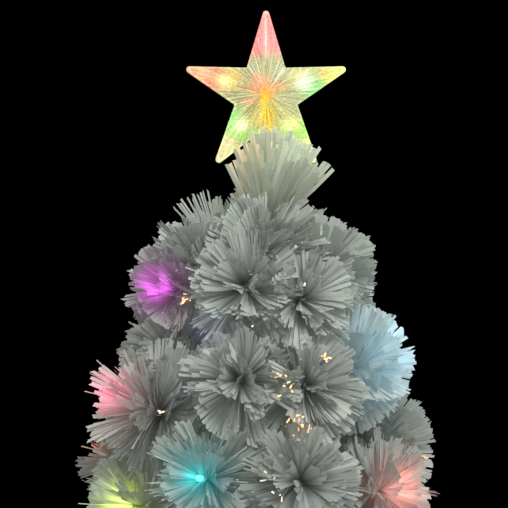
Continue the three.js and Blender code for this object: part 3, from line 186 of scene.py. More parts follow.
def put_mesh(name, parts, finishes, smooth=False):
    """Make one mesh of several parts. A part has points and faces of four or three corners, and may have
    colours at its points, places on the map at its corners, and the number of its material, `finish`."""
    points = np.concatenate([part["points"] for part in parts])
    offsets = np.cumsum([0] + [len(part["points"]) for part in parts])
    corners, starts, finish, maps = [], [], [], []
    used = 0
    for part, offset in zip(parts, offsets):
        for faces, places in zip(part["faces"], part.get("maps") or [None] * len(part["faces"])):
            corners.append((faces + offset).ravel())
            starts.append(used + np.arange(len(faces)) * faces.shape[1])
            finish.append(np.full(len(faces), part.get("finish", 0)))
            maps.append(np.zeros((faces.size, 2)) if places is None else places.reshape(-1, 2))
            used += faces.size
    mesh = bpy.data.meshes.new(name)
    mesh.vertices.add(len(points))
    mesh.vertices.foreach_set("co", points.astype(np.float32).ravel())
    mesh.loops.add(used)
    mesh.loops.foreach_set("vertex_index", np.concatenate(corners).astype(np.int32))
    starts = np.concatenate(starts)
    mesh.polygons.add(len(starts))
    mesh.polygons.foreach_set("loop_start", starts.astype(np.int32))
    mesh.polygons.foreach_set("material_index", np.concatenate(finish).astype(np.int32))
    mesh.polygons.foreach_set("use_smooth", np.full(len(starts), smooth))
    mesh.update(calc_edges=True)
    for colour in ("paint", "glow"):
        if any(colour in part for part in parts):
            values = np.concatenate([part.get(colour, np.zeros((len(part["points"]), 3))) for part in parts])
            layer = mesh.attributes.new(colour, "FLOAT_COLOR", "POINT")
            layer.data.foreach_set("color", np.c_[values, np.ones(len(values))].astype(np.float32).ravel())
    if any(part.get("maps") for part in parts):
        layer = mesh.uv_layers.new(name="OFBake")
        layer.uv.foreach_set("vector", np.concatenate(maps).astype(np.float32).ravel())
    for made in finishes:
        mesh.materials.append(made)
    return linked(name, mesh)


def put_piece(name, parts, finishes, body, smooth=False):
    """One piece of the object, on its body."""
    made = put_mesh(name, parts, finishes, smooth)
    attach(made, body)
    return made


def closed(rings, first_end, last_end):
    """A closed body over a stack of rings: walls between them, and a fan to a point at each end."""
    levels, sides = rings.shape[:2]
    step = np.arange(sides)
    following = (step + 1) % sides
    level = np.arange(levels - 1)[:, None] * sides
    walls = np.stack([level + step, level + following, level + sides + following, level + sides + step], -1)
    tips = levels * sides
    last = tips - sides
    ends = np.concatenate([
        np.stack([np.full(sides, tips), following, step], 1),
        np.stack([np.full(sides, tips + 1), last + step, last + following], 1)])
    return {"points": np.concatenate([rings.reshape(-1, 3), [first_end, last_end]]),
            "faces": [walls.reshape(-1, 4), ends]}


def ringed(path, radii, sides, first, second):
    """Rings round a path: the point at angle a is path + radius * (first * cos(a) + second * sin(a))."""
    turn = np.arange(sides) / sides * 2 * np.pi
    rings = (path[:, None] + (radii * np.cos(turn))[..., None] * first
             + (radii * np.sin(turn))[..., None] * second)
    return closed(rings, path[0], path[-1])


def tube(path, radii, sides, flute=0.0):
    """A closed tube along a path, fluted by a share of its radius."""
    tangent = unit(np.gradient(path, axis=0))
    helper = np.array([0, 1, 0.01]) if abs(tangent[:, 1]).max() < 0.9 else np.array([1, 0, 0.01])
    first = unit(np.cross(tangent, helper))
    second = np.cross(tangent, first)
    fluted = np.array(radii)[:, None] * (1 + flute * (-1.0) ** np.arange(sides))
    return ringed(path, fluted, sides, first[:, None], second[:, None])


def turned_piece(profile, sides, centre, axis=UP):
    """A closed body turned about an axis, from a profile of radii and heights in millimetres."""
    radii, heights = np.array(profile).T * MM
    helper = np.array([1, 0, 0]) if abs(axis[0]) < 0.9 else np.array([0, 1, 0])
    second = unit(np.cross(axis, helper))
    path = np.array(centre) + heights[:, None] * axis
    return ringed(path, radii[:, None], sides, np.cross(second, axis), second)


# finishes

def new_finish(name):
    """A new material, its nodes and its surface."""
    made = bpy.data.materials.new(name)
    made.use_nodes = True
    return made, made.node_tree, made.node_tree.nodes["Principled BSDF"]


def moulded(name, low, high, roughness, fine=900, coarse=30, bump=0.12, coat=0.0):
    """Moulded plastic: a slow cloud of two close tones, a fine skin in the bump and in the roughness."""
    made, tree, surface = new_finish(name)
    skin = grain(tree, fine, 2)
    feed(tree, surface, {
        "Base Color": two_tones(tree, grain(tree, coarse), low, high), "Coat Weight": coat,
        "Roughness": spread(tree, skin, 0, 1, roughness - 0.06, roughness + 0.08),
        "Normal": bumped(tree, skin, bump, 0.4)})
    return made


def brushed(name, stretch, high=(0.68, 0.69, 0.7), roughness=0.3):
    """Metal with fine marks drawn out along one axis."""
    made, tree, surface = new_finish(name)
    marks = grain(tree, 240, 4, drawn_out(tree, stretch))
    feed(tree, surface, {
        "Base Color": two_tones(tree, marks, (0.5, 0.51, 0.52), high), "Metallic": 1,
        "Roughness": spread(tree, marks, 0, 1, roughness - 0.1, roughness + 0.12),
        "Normal": bumped(tree, marks, 0.1, 0.2)})
    return made


def own_colours(tree):
    """The paint and the glow that were worked out at a piece's points."""
    return [add(tree, "Attribute", attribute_name=name) for name in ("paint", "glow")]


def painted(name, roughness, speckle, bump=0.15):
    """A surface with its own paint, varied by a fine grain, and its own glow."""
    made, tree, surface = new_finish(name)
    paint, glow = own_colours(tree)
    fleck = grain(tree, 1400, 2)
    tone = spread(tree, fleck, 0.3, 0.7, 1 - speckle, 1 + speckle)
    feed(tree, surface, {
        "Base Color": tinted(tree, paint, tone), "Emission Color": glow, "Emission Strength": 1,
        "Roughness": roughness, "Normal": bumped(tree, fleck, bump, 0.3)})
    return made


WHITE = moulded("white_housing_plastic", (0.74, 0.74, 0.71), (0.82, 0.82, 0.79), 0.38)
TRUNK = moulded("white_trunk_plastic", (0.62, 0.64, 0.6), (0.72, 0.74, 0.7), 0.45)
RUBBER = moulded("black_foot_rubber", (0.022, 0.022, 0.023), (0.045, 0.045, 0.046), 0.8, 700, 60, 0.3)
BLACK = moulded("black_control_plastic", (0.02, 0.02, 0.021), (0.04, 0.04, 0.042), 0.42, 1600, 90, 0.2)
ALLOY = brushed("cast_lamp_alloy", (1, 1, 1), (0.66, 0.67, 0.68), 0.42)
MOTOR = brushed("plated_motor_steel", (0.05, 0.05, 1))
SCREW = brushed("plated_screw_steel", (1, 0.1, 1))
STRIPS = painted("white_strip_foliage", 0.5, 0.08)
WIRE = moulded("wrapped_branch_wire", (0.3, 0.31, 0.29), (0.5, 0.52, 0.48), 0.6, 1200, 200, 0.3)
BUNDLE = moulded("clear_fibre_bundle", (0.5, 0.56, 0.55), (0.74, 0.8, 0.78), 0.22, 1800, 160, 0.4, 0.3)
COLLAR = moulded("white_collar_plastic", (0.58, 0.6, 0.57), (0.68, 0.7, 0.66), 0.5, 1100, 50)
LENS = painted("lit_lamp_lens", 0.2, 0.03, bump=0.05)
FIBRE = painted("clear_fibre", 0.15, 0.03, bump=0.05)

STAR_R = 78.5 * MM
STAR_CENTRE = UP * (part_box("star_front_shell")[1][2] - STAR_R)


def star_finish():
    """Clear ribbed plastic of the lit star, with its own colours. Fine rays come from noise on (angle about
    the centre, distance from it), and small cross marks from noise drawn out level."""
    made, tree, surface = new_finish("clear_star_plastic")
    paint, glow = own_colours(tree)
    local = add(tree, "VectorMath", {0: object_place(tree), 1: STAR_CENTRE}, operation="SUBTRACT")
    part = add(tree, "SeparateXYZ", {"Vector": local}).node.outputs
    angle = add(tree, "Math", {0: part["Z"], 1: part["X"]}, operation="ARCTAN2")
    flat = add(tree, "CombineXYZ", {"X": part["X"], "Z": part["Z"]})
    reach = add(tree, "VectorMath", {0: flat}, "Value", operation="LENGTH")
    polar = add(tree, "CombineXYZ", {"X": angle, "Y": reach})
    rays = spread(tree, grain(tree, 1, 3, drawn_out(tree, (19, 30, 1), polar)), 0.34, 0.66, 0.66, 1.5)
    outward = spread(tree, reach, 14 * MM, 55 * MM, 1, 0.42)
    ray_part = add(tree, "Mix", {"Factor": outward, "A": 1.0, "B": rays})
    marks = spread(tree, grain(tree, 1, 2, drawn_out(tree, (330, 1, 620))), 0.3, 0.7, 0.74, 1.22)
    tone = add(tree, "Math", {0: ray_part, 1: marks}, operation="MULTIPLY")
    feed(tree, surface, {
        "Base Color": tinted(tree, paint, tone), "Emission Color": tinted(tree, glow, tone),
        "Emission Strength": 1, "Transmission Weight": 0.25, "Roughness": 0.2,
        "Normal": bumped(tree, tone, 0.15, 0.4)})
    return made


STAR = star_finish()


def socket_finish():
    """Clear socket of the star, lit yellow-green with fine lines of gold, brighter towards its top."""
    made, tree, surface = new_finish("clear_socket_plastic")
    height = add(tree, "SeparateXYZ", {"Vector": object_place(tree)}, "Z")
    lines = grain(tree, 1, 2, drawn_out(tree, (700, 700, 20)))
    tint = two_tones(tree, lines, (0.16, 0.2, 0.07), (0.75, 0.55, 0.08))
    feed(tree, surface, {
        "Base Color": tint, "Emission Color": tint, "Transmission Weight": 0.4, "Roughness": 0.22,
        "Emission Strength": spread(tree, height, 0.47, 0.55, 0, 1)})
    return made


def lamp_board_finish():
    """Pale board of the star's lamps with a fine green-gold mottle, lit by its own lamps."""
    made, tree, surface = new_finish("star_lamp_board")
    tint = two_tones(tree, grain(tree, 300), (0.35, 0.45, 0.2), (0.7, 0.62, 0.25))
    feed(tree, surface, {
        "Base Color": tint, "Emission Color": tint, "Emission Strength": 0.6, "Roughness": 0.4})
    return made


FILMS = [(0.7, 0.04, 0.04), (0.75, 0.35, 0.03), (0.7, 0.66, 0.05), (0.05, 0.5, 0.1), (0.05, 0.2, 0.7),
         (0.5, 0.05, 0.55)]


def wheel_finish():
    """Six film colours round the centre of the wheel, by the angle about it."""
    made, tree, surface = new_finish("six_colour_wheel_film")
    centre = np.mean(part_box("colour_wheel"), axis=0)
    moved = add(tree, "VectorMath", {0: object_place(tree), 1: centre}, operation="SUBTRACT")
    round_it = add(tree, "TexGradient", {"Vector": moved}, "Fac", gradient_type="RADIAL")
    ramp = add(tree, "ValToRGB", {"Fac": round_it})
    bands = ramp.node.color_ramp
    bands.interpolation = "CONSTANT"
    while len(bands.elements) < len(FILMS):
        bands.elements.new(0.5)
    for number, film in enumerate(FILMS):
        bands.elements[number].position = number / len(FILMS)
        bands.elements[number].color = (*film, 1)
    speckled = add(tree, "Mix", {"Factor": grain(tree, 400), "A": ramp, "B": (0.9, 0.9, 0.9, 1)}, "Result",
                   data_type="RGBA", blend_type="MULTIPLY")
    feed(tree, surface, {"Base Color": speckled, "Transmission Weight": 0.3, "Roughness": 0.25})
    return made


# the tufts, where the solids have them

TREE_REACH = 135
# Collar letter: reach, rise, and for each branch its azimuth, reach share, rise share and tilt
TIERS = {
    "e": (TREE_REACH, 26, [(45 * n, 1, 1, 4) for n in range(8)]),
    "d": (TREE_REACH * 0.874, 36, [
        (-76, 1, 1.28, 12), (-117, 1, 1.32, 10), (-160, 1.07, 0.45, 5), (168, 1.05, 1.3, 10),
        (-20, 0.98, 0.8, 8), (15, 0.9, 1.72, 20), (62, 1, 1, 12), (117, 1, 1, 12)]),
    "c": (TREE_REACH * 0.741, 40, [
        (-103, 1, 1.22, 12), (-68, 0.9, 1.08, 15), (-5, 0.86, 1.42, 20), (42, 1, 1, 20),
        (90, 1, 1, 20), (137, 1, 1, 20), (-155, 1.13, 0.46, 22), (-178, 0.84, 1.7, 30)]),
    "b": (TREE_REACH * 0.563, 40, [
        (-104, 1, 1.3, 25), (-64, 0.92, 1, 20), (45, 1, 0.9, 30), (112, 1, 0.9, 30), (190, 1.1, 1.2, 12)]),
    "a": (TREE_REACH * 0.311, 26, [
        (-92, 0.85, 1, 72), (-15, 1.2, 0.45, 20), (60, 1, 1.1, 50), (140, 1.2, 1.1, 45),
        (195, 1.5, 0.6, 40)]),
}
STRIP_LENGTH = 58 * MM
TOP_STRIP_LENGTH = 86 * MM
TOP_WIDTH = 1.12
# Tufts that differ from the rest: in their strips' length, in how far these pass half way to the next tuft
# and in the number of stray strips; with locks of uneven length; and with wide smooth fans
LENGTH_SHARES = {"a1": 1.1, "d4": 1.05, "d6": 1.1, "c3": 1.03, "c7": 1.2, "b5": 0.92, "d3": 0.98}
LOOSE_TUFTS = {"b5": 1.3, "d4": 1.3, "d6": 1.5}
STRAY_COUNTS = {"d2": 46, "c8": 18, "c7": 14, "b2": 14, "c2": 12}
UNEVEN_TUFTS = ("b1", "b2", "c1", "c2", "d1", "d2")
SMOOTH_TUFTS = ("a1", "a2", "b3", "b5", "c3", "d6")
# Painted light and shade by tier: the upper tufts' paint is lighter and the lower ones' darker, as the light
# falls
TIER_LIGHT_AND_SHADE = {"top": 1.0, "a": 1.04, "b": 1.07, "c": 0.98, "d": 0.86, "e": 0.9}
HUB_REACH = 9 * MM
COLLAR_RADIUS = 14 * MM
COLLAR_TILT = math.radians(20)

# Lamp of a branch: bright colour and its level, wide colour, bright radius, wide radius, how far it dims the
# foliage round it, and how far out along the axis its light gathers
LAMPS = {
    "b5": ((255, 96, 255), 2.5, (86, 14, 78), 9.2, 31, 0.72, 20),
    "c3": ((120, 170, 198), 0.3, (94, 132, 149), 26, 48, 0.0, 44),
    "c7": ((255, 106, 142), 1.9, (120, 60, 74), 17, 32, 0.1, 59),
    "d2": ((60, 250, 250), 1.7, (0, 112, 116), 7, 26, 0.4, 24),
    "d3": ((225, 255, 120), 1.9, (98, 110, 44), 12, 24, 0.0, 17),
    "d4": ((255, 130, 60), 0.6, (70, 40, 20), 9, 24, 0.0, 17),
    "d5": ((255, 134, 116), 1.6, (196, 130, 124), 10, 22, 0.0, 17),
    "d8": ((150, 255, 120), 1, (50, 95, 40), 13, 30, 0.2, 17),
    "c5": ((255, 180, 60), 1, (110, 70, 20), 13, 32, 0.2, 17),
    "b3": ((150, 110, 255), 1, (60, 45, 110), 10, 18, 0.2, 12),
    "e2": ((60, 150, 255), 1, (20, 60, 110), 13, 32, 0.2, 17),
    "e6": ((255, 90, 60), 1, (110, 40, 25), 13, 30, 0.2, 17),
    "e8": ((90, 255, 170), 1, (30, 100, 70), 13, 30, 0.2, 17),
}
# How far in front of that place the light gathers
LIGHT_AHEAD = {"b5": 25 * MM}
SPILL = 0.14
DEPTH_SHARE = 0.6

# Faint light through the strips: tuft, millimetres to the right and up from its middle, colour, radius
GLIMMERS = [
    ("c8", 24, 25, (52, 52, 108), 9), ("b1", -28, -33, (50, 50, 90), 12),
    ("c8", 5, -28, (50, 50, 85), 9), ("d4", -48, 20, (235, 112, 58), 10),
    ("c2", 42, -16, (70, 55, 40), 12), ("d6", 48, -6, (130, 95, 65), 9),
]
GLIMMER_AHEAD = 45
GLIMMER_DEPTH_SHARE = 0.4


def tufts():
    """Place and frame of every tuft: apex, axis, the level direction across it and the one over it."""
    made = {}
    for letter, (reach, rise, rows) in TIERS.items():
        low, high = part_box("collar_" + letter)
        level = UP * (low[2] + high[2]) / 2
        for number, (azimuth, reach_share, rise_share, tilt) in enumerate(rows):
            name = f"{letter}{number + 1}"
            turn, tilt = math.radians(azimuth), math.radians(tilt)
            out = np.array([math.cos(turn), math.sin(turn), 0])
            side = np.array([-math.sin(turn), math.cos(turn), 0])
            axis = out * math.cos(tilt) + UP * math.sin(tilt)
            made[name] = {
                "name": name, "tier": letter, "collar": level, "out": out,
                "apex": level + out * reach * reach_share * MM + UP * rise * rise_share * MM,
                "axis": axis, "side": side, "over": np.cross(axis, side),
                "length": STRIP_LENGTH * LENGTH_SHARES.get(name, 1)}
    made["top"] = {
        "name": "top", "tier": "top", "apex": UP * (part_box("trunk_tube")[1][2] + 16 * MM), "axis": UP,
        "side": np.array([0, 1.0, 0]), "over": np.array([-1.0, 0, 0]), "length": TOP_STRIP_LENGTH}
    return made


TUFTS = tufts()


def aimed(tuft, polar, turn):
    """Directions at an angle from a tuft's axis and at a turn round it."""
    round_it = np.cos(turn)[..., None] * tuft["side"] + np.sin(turn)[..., None] * tuft["over"]
    return np.cos(polar)[..., None] * tuft["axis"] + np.sin(polar)[..., None] * round_it


# Light of the star on the top tuft: by height, at the tips from left to right, and at its left side
TOP_GLOW = screen(112, 118, 72)
TIP_GLOW_LEFT, TIP_GLOW_RIGHT = screen(168, 122, 78), screen(92, 104, 84)
LEFT_GLOW = screen(218, 152, 92)
TIP_LEVEL = 0.497
# Light of the star on the other tufts
STAR_SHINE = screen(70, 78, 45)


def glow_at(points, spark, own, depth):
    """Painted light that the lamps and the star leave on the foliage at each point, as glow. A lamp gives
    its bright colour times exp(-(d/r)^2) times the strip's own spark, plus its wide colour times
    exp(-(d/R)^2), and only a part of both to the strips of other tufts; the second result is how far it dims
    the foliage's own tone there. The faint light that all strips let through is painted as a glow too, and
    fades towards
    their roots by depth: painted shade in the tuft's core."""
    # Painted light: the faint glow on all strips, less towards their roots
    light = STRIP_GLOW * ((0.8 + 0.2 * spark) * depth)[:, None]
    dim = np.ones(len(points))
    spark = spark[:, None]
    for name, (bright, level, wide, near, far, shade, reach) in LAMPS.items():
        tuft = TUFTS[name]
        part = 1.0 if name == own else SPILL
        middle = tuft["apex"] + tuft["axis"] * reach * MM - np.array([0, LIGHT_AHEAD.get(name, 0), 0])
        away = np.linalg.norm((points - middle) * [1, DEPTH_SHARE, 1], axis=1)[:, None]
        core = bell(away / (near * MM)) * part
        wash = bell(away / (far * MM)) * part
        light += core * spark * screen(*bright) * level + wash * (0.6 + 0.4 * spark) * screen(*wide)
        dim *= 1 - shade * wash[:, 0]
    for name, right, up, tone, radius in GLIMMERS:
        spot = TUFTS[name]["apex"] + np.array([right, -GLIMMER_AHEAD, up]) * MM
        away = np.linalg.norm((points - spot) * [1, GLIMMER_DEPTH_SHARE, 1], axis=1)[:, None]
        light += bell(away / (radius * MM)) * screen(*tone)
    if own == "top":
        across, height = points[:, :1], points[:, 2:]
        rising = np.clip((height - TUFTS["top"]["apex"][2]) / TOP_STRIP_LENGTH / 0.9, 0, 1) ** 1.3
        light += rising * (0.6 + 0.4 * spark) * TOP_GLOW
        tips = np.clip((height - TIP_LEVEL) / (20 * MM), 0, 1)
        share = np.clip(across / (40 * MM) + 0.5, 0, 1)
        light += tips * np.maximum(spark - 0.5, 0) * ((1 - share) * TIP_GLOW_LEFT + share * TIP_GLOW_RIGHT)
        left = np.clip(-(across + 4 * MM) / (26 * MM), 0, 1) * rising
        light += left * np.maximum(spark - 0.6, 0) * LEFT_GLOW
    else:
        below = STAR_CENTRE - UP * 60 * MM
        light += bell(np.linalg.norm(points - below, axis=1) / (45 * MM))[:, None] * STAR_SHINE
    return light, dim


# strips

STATIONS = np.array([0, 0.3, 0.7, 1.0])
ROOT_WIDTH = 0.4
# Painted shade in the tuft's core: the share of a strip's paint, and of its glow, left at its root
ROOT_SHADE = 0.3
ROOT_GLOW = 0.1
STRIP_TONE = screen(175, 181, 174)
# Painted light: a faint glow on every strip, standing in for light that passes through them
STRIP_GLOW = screen(52, 54, 52)
STRIP_THICKNESS = 0.16 * MM
SINGLE_THICKNESS = 0.35 * MM
LOCK_LEAN = 0.55
OVERLAP = 25 * MM
GOLDEN_TURN = 2.39996
GOLDEN_SHARE = 0.61803
FULL_TURN = 6.28
MAP_COLUMNS = 32
MAP_ACROSS = np.array([0.1, 0.5, 0.9, 0.5])


def grown(low, share):
    """At each station, a value that grows from low at the root to one at a share of the strip."""
    return low + (1 - low) * np.clip(STATIONS / share, 0, 1)


def strips(own, roots, aims, sides, lengths, widths, thickness, sway, curl, cut, shade, spark):
    """Flat strips with cut ends. The middle of a strip at share u is root + aim*L*u + (side*sway +
    face*curl)*L*u^2, where face is side x aim; the cross section is a thin diamond, narrower at the root,
    and the end is cut slanting. The paint is darker towards the root: painted shade in the tuft's core.
    Each strip has a cell of its own on the map."""
    count, stations = len(roots), len(STATIONS)
    roots, aims, sides = roots[:, None], aims[:, None], sides[:, None]
    face = np.cross(sides, aims)
    u = STATIONS[:, None]
    reach = lengths[:, None, None] * u
    bend = sides * sway[:, None, None] + face * curl[:, None, None]
    middle = roots + aims * reach + bend * reach * u
    half = sides * (widths[:, None] / 2 * grown(ROOT_WIDTH, 0.6))[..., None]
    thin = face * thickness / 2
    rim = np.stack([middle - half, middle + thin, middle + half, middle - thin], 2)
    slant = aims[:, 0] * cut[:, None]
    rim[:, -1, 0] += slant
    rim[:, -1, 2] -= slant
    points = rim.reshape(-1, 3)
    first = np.arange(count)[:, None, None] * stations * 4
    ring = first + np.arange(stations - 1)[:, None] * 4
    corner = np.arange(4)
    following = (corner + 1) % 4
    quads = np.stack([ring + corner, ring + 4 + corner, ring + 4 + following, ring + following], -1)
    walls = quads.reshape(-1, 4)
    caps = np.concatenate([first[:, 0] + corner, first[:, 0] + (stations - 1) * 4 + corner[::-1]])
    number = np.arange(count)[:, None, None]
    place = np.zeros((count, stations, 4, 2))
    place[..., 0] = (number % MAP_COLUMNS + MAP_ACROSS) / MAP_COLUMNS
    place[..., 1] = (number // MAP_COLUMNS + 0.05 + 0.9 * u) / math.ceil(count / MAP_COLUMNS)
    flat = place.reshape(-1, 2)
    # Painted shade: paint and glow grow darker towards the root
    tone = np.repeat((shade[:, None] * grown(ROOT_SHADE, 0.75)).ravel(), 4)
    depth = np.repeat(np.tile(grown(ROOT_GLOW, 0.55), count), 4)
    light, dim = glow_at(points, np.repeat(spark, stations * 4), own, depth)
    return {"points": points, "faces": [walls, caps], "maps": [flat[walls], flat[caps]],
            "paint": STRIP_TONE * (tone * dim)[:, None], "glow": light}


def trimmed(tuft, roots, aims, wanted, rng):
    """Strip lengths, less where a strip would pass its overlap beyond half way to another tuft, or reach
    the trunk's collars, at the distance t that solves |root + aim*t| = radius seen from above."""
    length = wanted.copy()
    overlap = OVERLAP * LOOSE_TUFTS.get(tuft["name"], 1)
    for other in TUFTS.values():
        if other["name"] == tuft["name"]:
            continue
        between = other["apex"] - tuft["apex"]
        apart = np.linalg.norm(between)
        between = between / apart
        ahead = aims @ between
        room = apart / 2 + overlap - (roots - tuft["apex"]) @ between
        limit = np.where(ahead > 0.05, room / np.maximum(ahead, 0.05), np.inf)
        length = np.minimum(length, np.maximum(limit, 6 * MM) * rng.uniform(0.9, 1.12, len(limit)))
    radius = COLLAR_RADIUS + 2 * MM if tuft["tier"] != "top" else 9 * MM
    a = (aims[:, :2] ** 2).sum(1)
    b = (aims[:, :2] * roots[:, :2]).sum(1)
    c = (roots[:, :2] ** 2).sum(1) - radius ** 2
    inside = b ** 2 - a * c
    hit = (-b - np.sqrt(np.maximum(inside, 0))) / np.maximum(a, 1e-6)
    blocked = (inside > 0) & (hit > 0) & (c > 0)
    return np.where(blocked, np.minimum(length, np.maximum(hit - 1 * MM, 4 * MM)), length)


def lock_strips(tuft, rng, locks, per_lock, near, far, length_share, turns=None, wide=False):
    """Strips of a tuft in locks. Lock n points at turn 137.5 degrees times n, with the cosine of its angle
    from the axis running evenly from near to far, both in degrees; a lock's strips lie side by side like an
    open fan, each a little over the next, and are shorter towards the fan's edges. A wide lock is a smooth
    fan that opens round the axis or along it. `turns` keeps the locks to a spread about a middle turn."""
    opening, untidy, shorter = ((0.05, 0.058), 0.3, 0.02) if wide else ((0.036, 0.05), 1.0, 0.07)
    near, far = math.radians(near), math.radians(far)
    number = np.arange(locks)
    cosine = np.cos(near) + (np.cos(far) - np.cos(near)) * (number + 0.5) / locks
    polar = np.arccos(cosine) + rng.normal(0, 0.1, locks)
    turn = number * GOLDEN_TURN + rng.normal(0, 0.25, locks) + rng.uniform(0, FULL_TURN)
    if turns:
        turn = turns[0] + turns[1] * ((number * GOLDEN_SHARE) % 1 - 0.5)
    aim = aimed(tuft, polar, turn)
    across = -np.sin(turn)[:, None] * tuft["side"] + np.cos(turn)[:, None] * tuft["over"]
    out = np.cross(across, aim)
    lean = rng.normal(0, LOCK_LEAN, locks)
    if wide:
        lean = rng.choice([0, math.pi / 2], locks, p=[0.4, 0.6]) + rng.normal(0, 0.35, locks)
    fan = np.cos(lean)[:, None] * across + np.sin(lean)[:, None] * out
    flat = np.cross(fan, aim)
    uneven = tuft["name"] in UNEVEN_TUFTS
    least = 0.9 if wide else 0.7 if uneven else 0.8 if tuft["name"] in SMOOTH_TUFTS else 0.74
    most = 1.09 if uneven else 1.06
    reach = length_share[0] + (length_share[1] - length_share[0]) * np.sin(polar)
    lock_length = tuft["length"] * reach * rng.uniform(least, most, locks)
    lock_curl = rng.normal(0, 0.09, locks)
    lock_sway = rng.normal(0, 0.06, locks)
    # A lock's tone differs at random, times its tier's painted light and shade
    lock_tone_and_shade = rng.uniform(0.84, 1.08, locks) * TIER_LIGHT_AND_SHADE[tuft["tier"]]
    lock_lap = rng.choice([-1, 1], locks) * rng.uniform(0.03, 0.1, locks)

    def each(values):
        return np.repeat(values, per_lock, 0)

    total = locks * per_lock
    place = np.tile(np.arange(per_lock) - (per_lock - 1) / 2, locks)
    open_angle = place * each(rng.uniform(*opening, locks)) + rng.normal(0, 0.012 * untidy, total)
    layer = rng.normal(0, 0.026 * untidy, total)
    aims = unit(each(aim) * np.cos(open_angle)[:, None] + each(fan) * np.sin(open_angle)[:, None]
                + each(flat) * layer[:, None])
    twist = each(lock_lap) + rng.normal(0, 0.08 * untidy, total)
    sides = unit(each(fan) - aims * (each(fan) * aims).sum(1, keepdims=True))
    sides = np.cos(twist)[:, None] * sides + np.sin(twist)[:, None] * np.cross(aims, sides)
    rise = (HUB_REACH + 9 * MM) * (1 - each(polar) / far)
    back = rise - HUB_REACH - 4 * MM + rng.uniform(-2, 2, total) * MM
    roots = tuft["apex"] + tuft["axis"] * back[:, None] + aims * 2 * MM
    bow = 1 - shorter * (place / (per_lock / 2)) ** 2
    lengths = each(lock_length) * bow * rng.uniform(1 - 0.09 * untidy, 1.0, total)
    lengths = trimmed(tuft, roots, aims, lengths, rng)
    return dict(
        roots=roots, aims=aims, sides=sides, lengths=lengths,
        widths=rng.uniform(2.9, 3.8, total) * MM, thickness=STRIP_THICKNESS,
        sway=each(lock_sway) + rng.normal(0, 0.006, total),
        curl=each(lock_curl) + rng.normal(0, 0.006, total),
        cut=rng.normal(0, 0.7, total) * MM, shade=each(lock_tone_and_shade) * rng.uniform(0.93, 1.04, total),
        spark=rng.uniform(0.35, 1.7, total) * each(rng.uniform(0.6, 1.3, locks)))


def single_strips(rng, roots, aims, sides, lengths, widths, sway, curl, shade, spark, cut=0):
    """Strips that don't lie in locks; widths, shade and spark run from a lowest to a highest value."""
    count = len(roots)
    return dict(
        roots=roots, aims=aims, sides=sides, lengths=lengths, widths=rng.uniform(*widths, count) * MM,
        thickness=SINGLE_THICKNESS, sway=rng.normal(0, sway, count), curl=rng.normal(0, curl, count),
        cut=rng.normal(0, cut, count) * MM if cut else np.zeros(count),
        shade=rng.uniform(*shade, count), spark=rng.uniform(*spark, count))


def stray_strips(tuft, rng, count, far):
    """Thin single strips that stand a little past the locks, at random directions up to far degrees."""
    polar = np.arccos(rng.uniform(np.cos(math.radians(far)), 1, count))
    aims = aimed(tuft, polar, rng.uniform(0, FULL_TURN, count))
    sides = unit(np.cross(aims, rng.normal(0, 1, (count, 3))))
    roots = tuft["apex"] + aims * 3 * MM
    lengths = trimmed(tuft, roots, aims, tuft["length"] * rng.uniform(0.8, 0.96, count), rng)
    return single_strips(rng, roots, aims, sides, lengths, (1.0, 1.6), 0.04, 0.04, (0.95, 1.1), (0.5, 1.6))


def sparse_fan(tuft, rng):
    """A few narrow strips with gaps between them, standing up at the left, each leaning a little more than
    the one before, from a root to the right of the tuft's middle."""
    count = 12
    lean = np.linspace(math.radians(14), math.radians(43), count) + rng.normal(0, 0.012, count)
    aims = unit(np.stack([-np.sin(lean), np.full(count, -0.12), np.cos(lean)], 1))
    sides = unit(np.cross(aims, [0, 1.0, 0]))
    roots = tuft["apex"] + np.array([20, -2, 6]) * MM + aims * 6 * MM
    lengths = rng.uniform(56, 62, count) * MM
    return single_strips(
        rng, roots, aims, sides, lengths, (1.2, 2.0), 0.02, 0.02, (0.8, 1.05), (0.5, 1.4), cut=1)


def stem_path(tuft, count):
    """The branch wire: a cubic curve from the collar's socket to the back of the hub."""
    aim = tuft["out"] * math.cos(COLLAR_TILT) + UP * math.sin(COLLAR_TILT)
    mouth = tuft["collar"] + tuft["out"] * COLLAR_RADIUS
    start = mouth - aim * 4 * MM
    hub = tuft["apex"] - tuft["axis"] * HUB_REACH
    bend = 0.35 * np.linalg.norm(hub - mouth)
    p1, p2 = mouth + aim * bend, hub - tuft["axis"] * bend
    u = np.linspace(0, 1, count)[:, None]
    curve = mouth * (1 - u) ** 3 + 3 * p1 * u * (1 - u) ** 2 + 3 * p2 * u ** 2 * (1 - u) + hub * u ** 3
    return np.concatenate([start[None], curve])


def fringe_strips(tuft, rng, count):
    """Short strips down the branch wire, leaning out towards its tuft."""
    path = stem_path(tuft, 20)[3:]
    share = rng.uniform(0, 1, count) * (len(path) - 1.001)
    step = share.astype(int)
    part = (share - step)[:, None]
    roots = path[step] * (1 - part) + path[step + 1] * part
    along = unit(path[step + 1] - path[step])
    level = unit(np.cross(along, [0, 0, 1]))
    over = np.cross(level, along)
    turn = rng.uniform(0, FULL_TURN, count)
    aims = unit(along * rng.uniform(0.2, 0.9, count)[:, None] + np.cos(turn)[:, None] * level
                + np.sin(turn)[:, None] * over)
    sides = unit(np.cross(aims, rng.normal(0, 1, (count, 3))))
    lengths = trimmed(tuft, roots, aims, rng.uniform(20, 36, count) * MM, rng)
    # Painted shade: these strips deep in the tree are painted darker than the locks
    return single_strips(rng, roots, aims, sides, lengths, (2.4, 3.4), 0.05, 0.08, (0.65, 0.9), (0.5, 1.4))


def joined(*sets):
    """Several sets of strips as one; numbers that are the same for all stay as they are."""
    return {key: (np.concatenate([s[key] for s in sets]) if isinstance(value, np.ndarray) else value)
            for key, value in sets[0].items()}


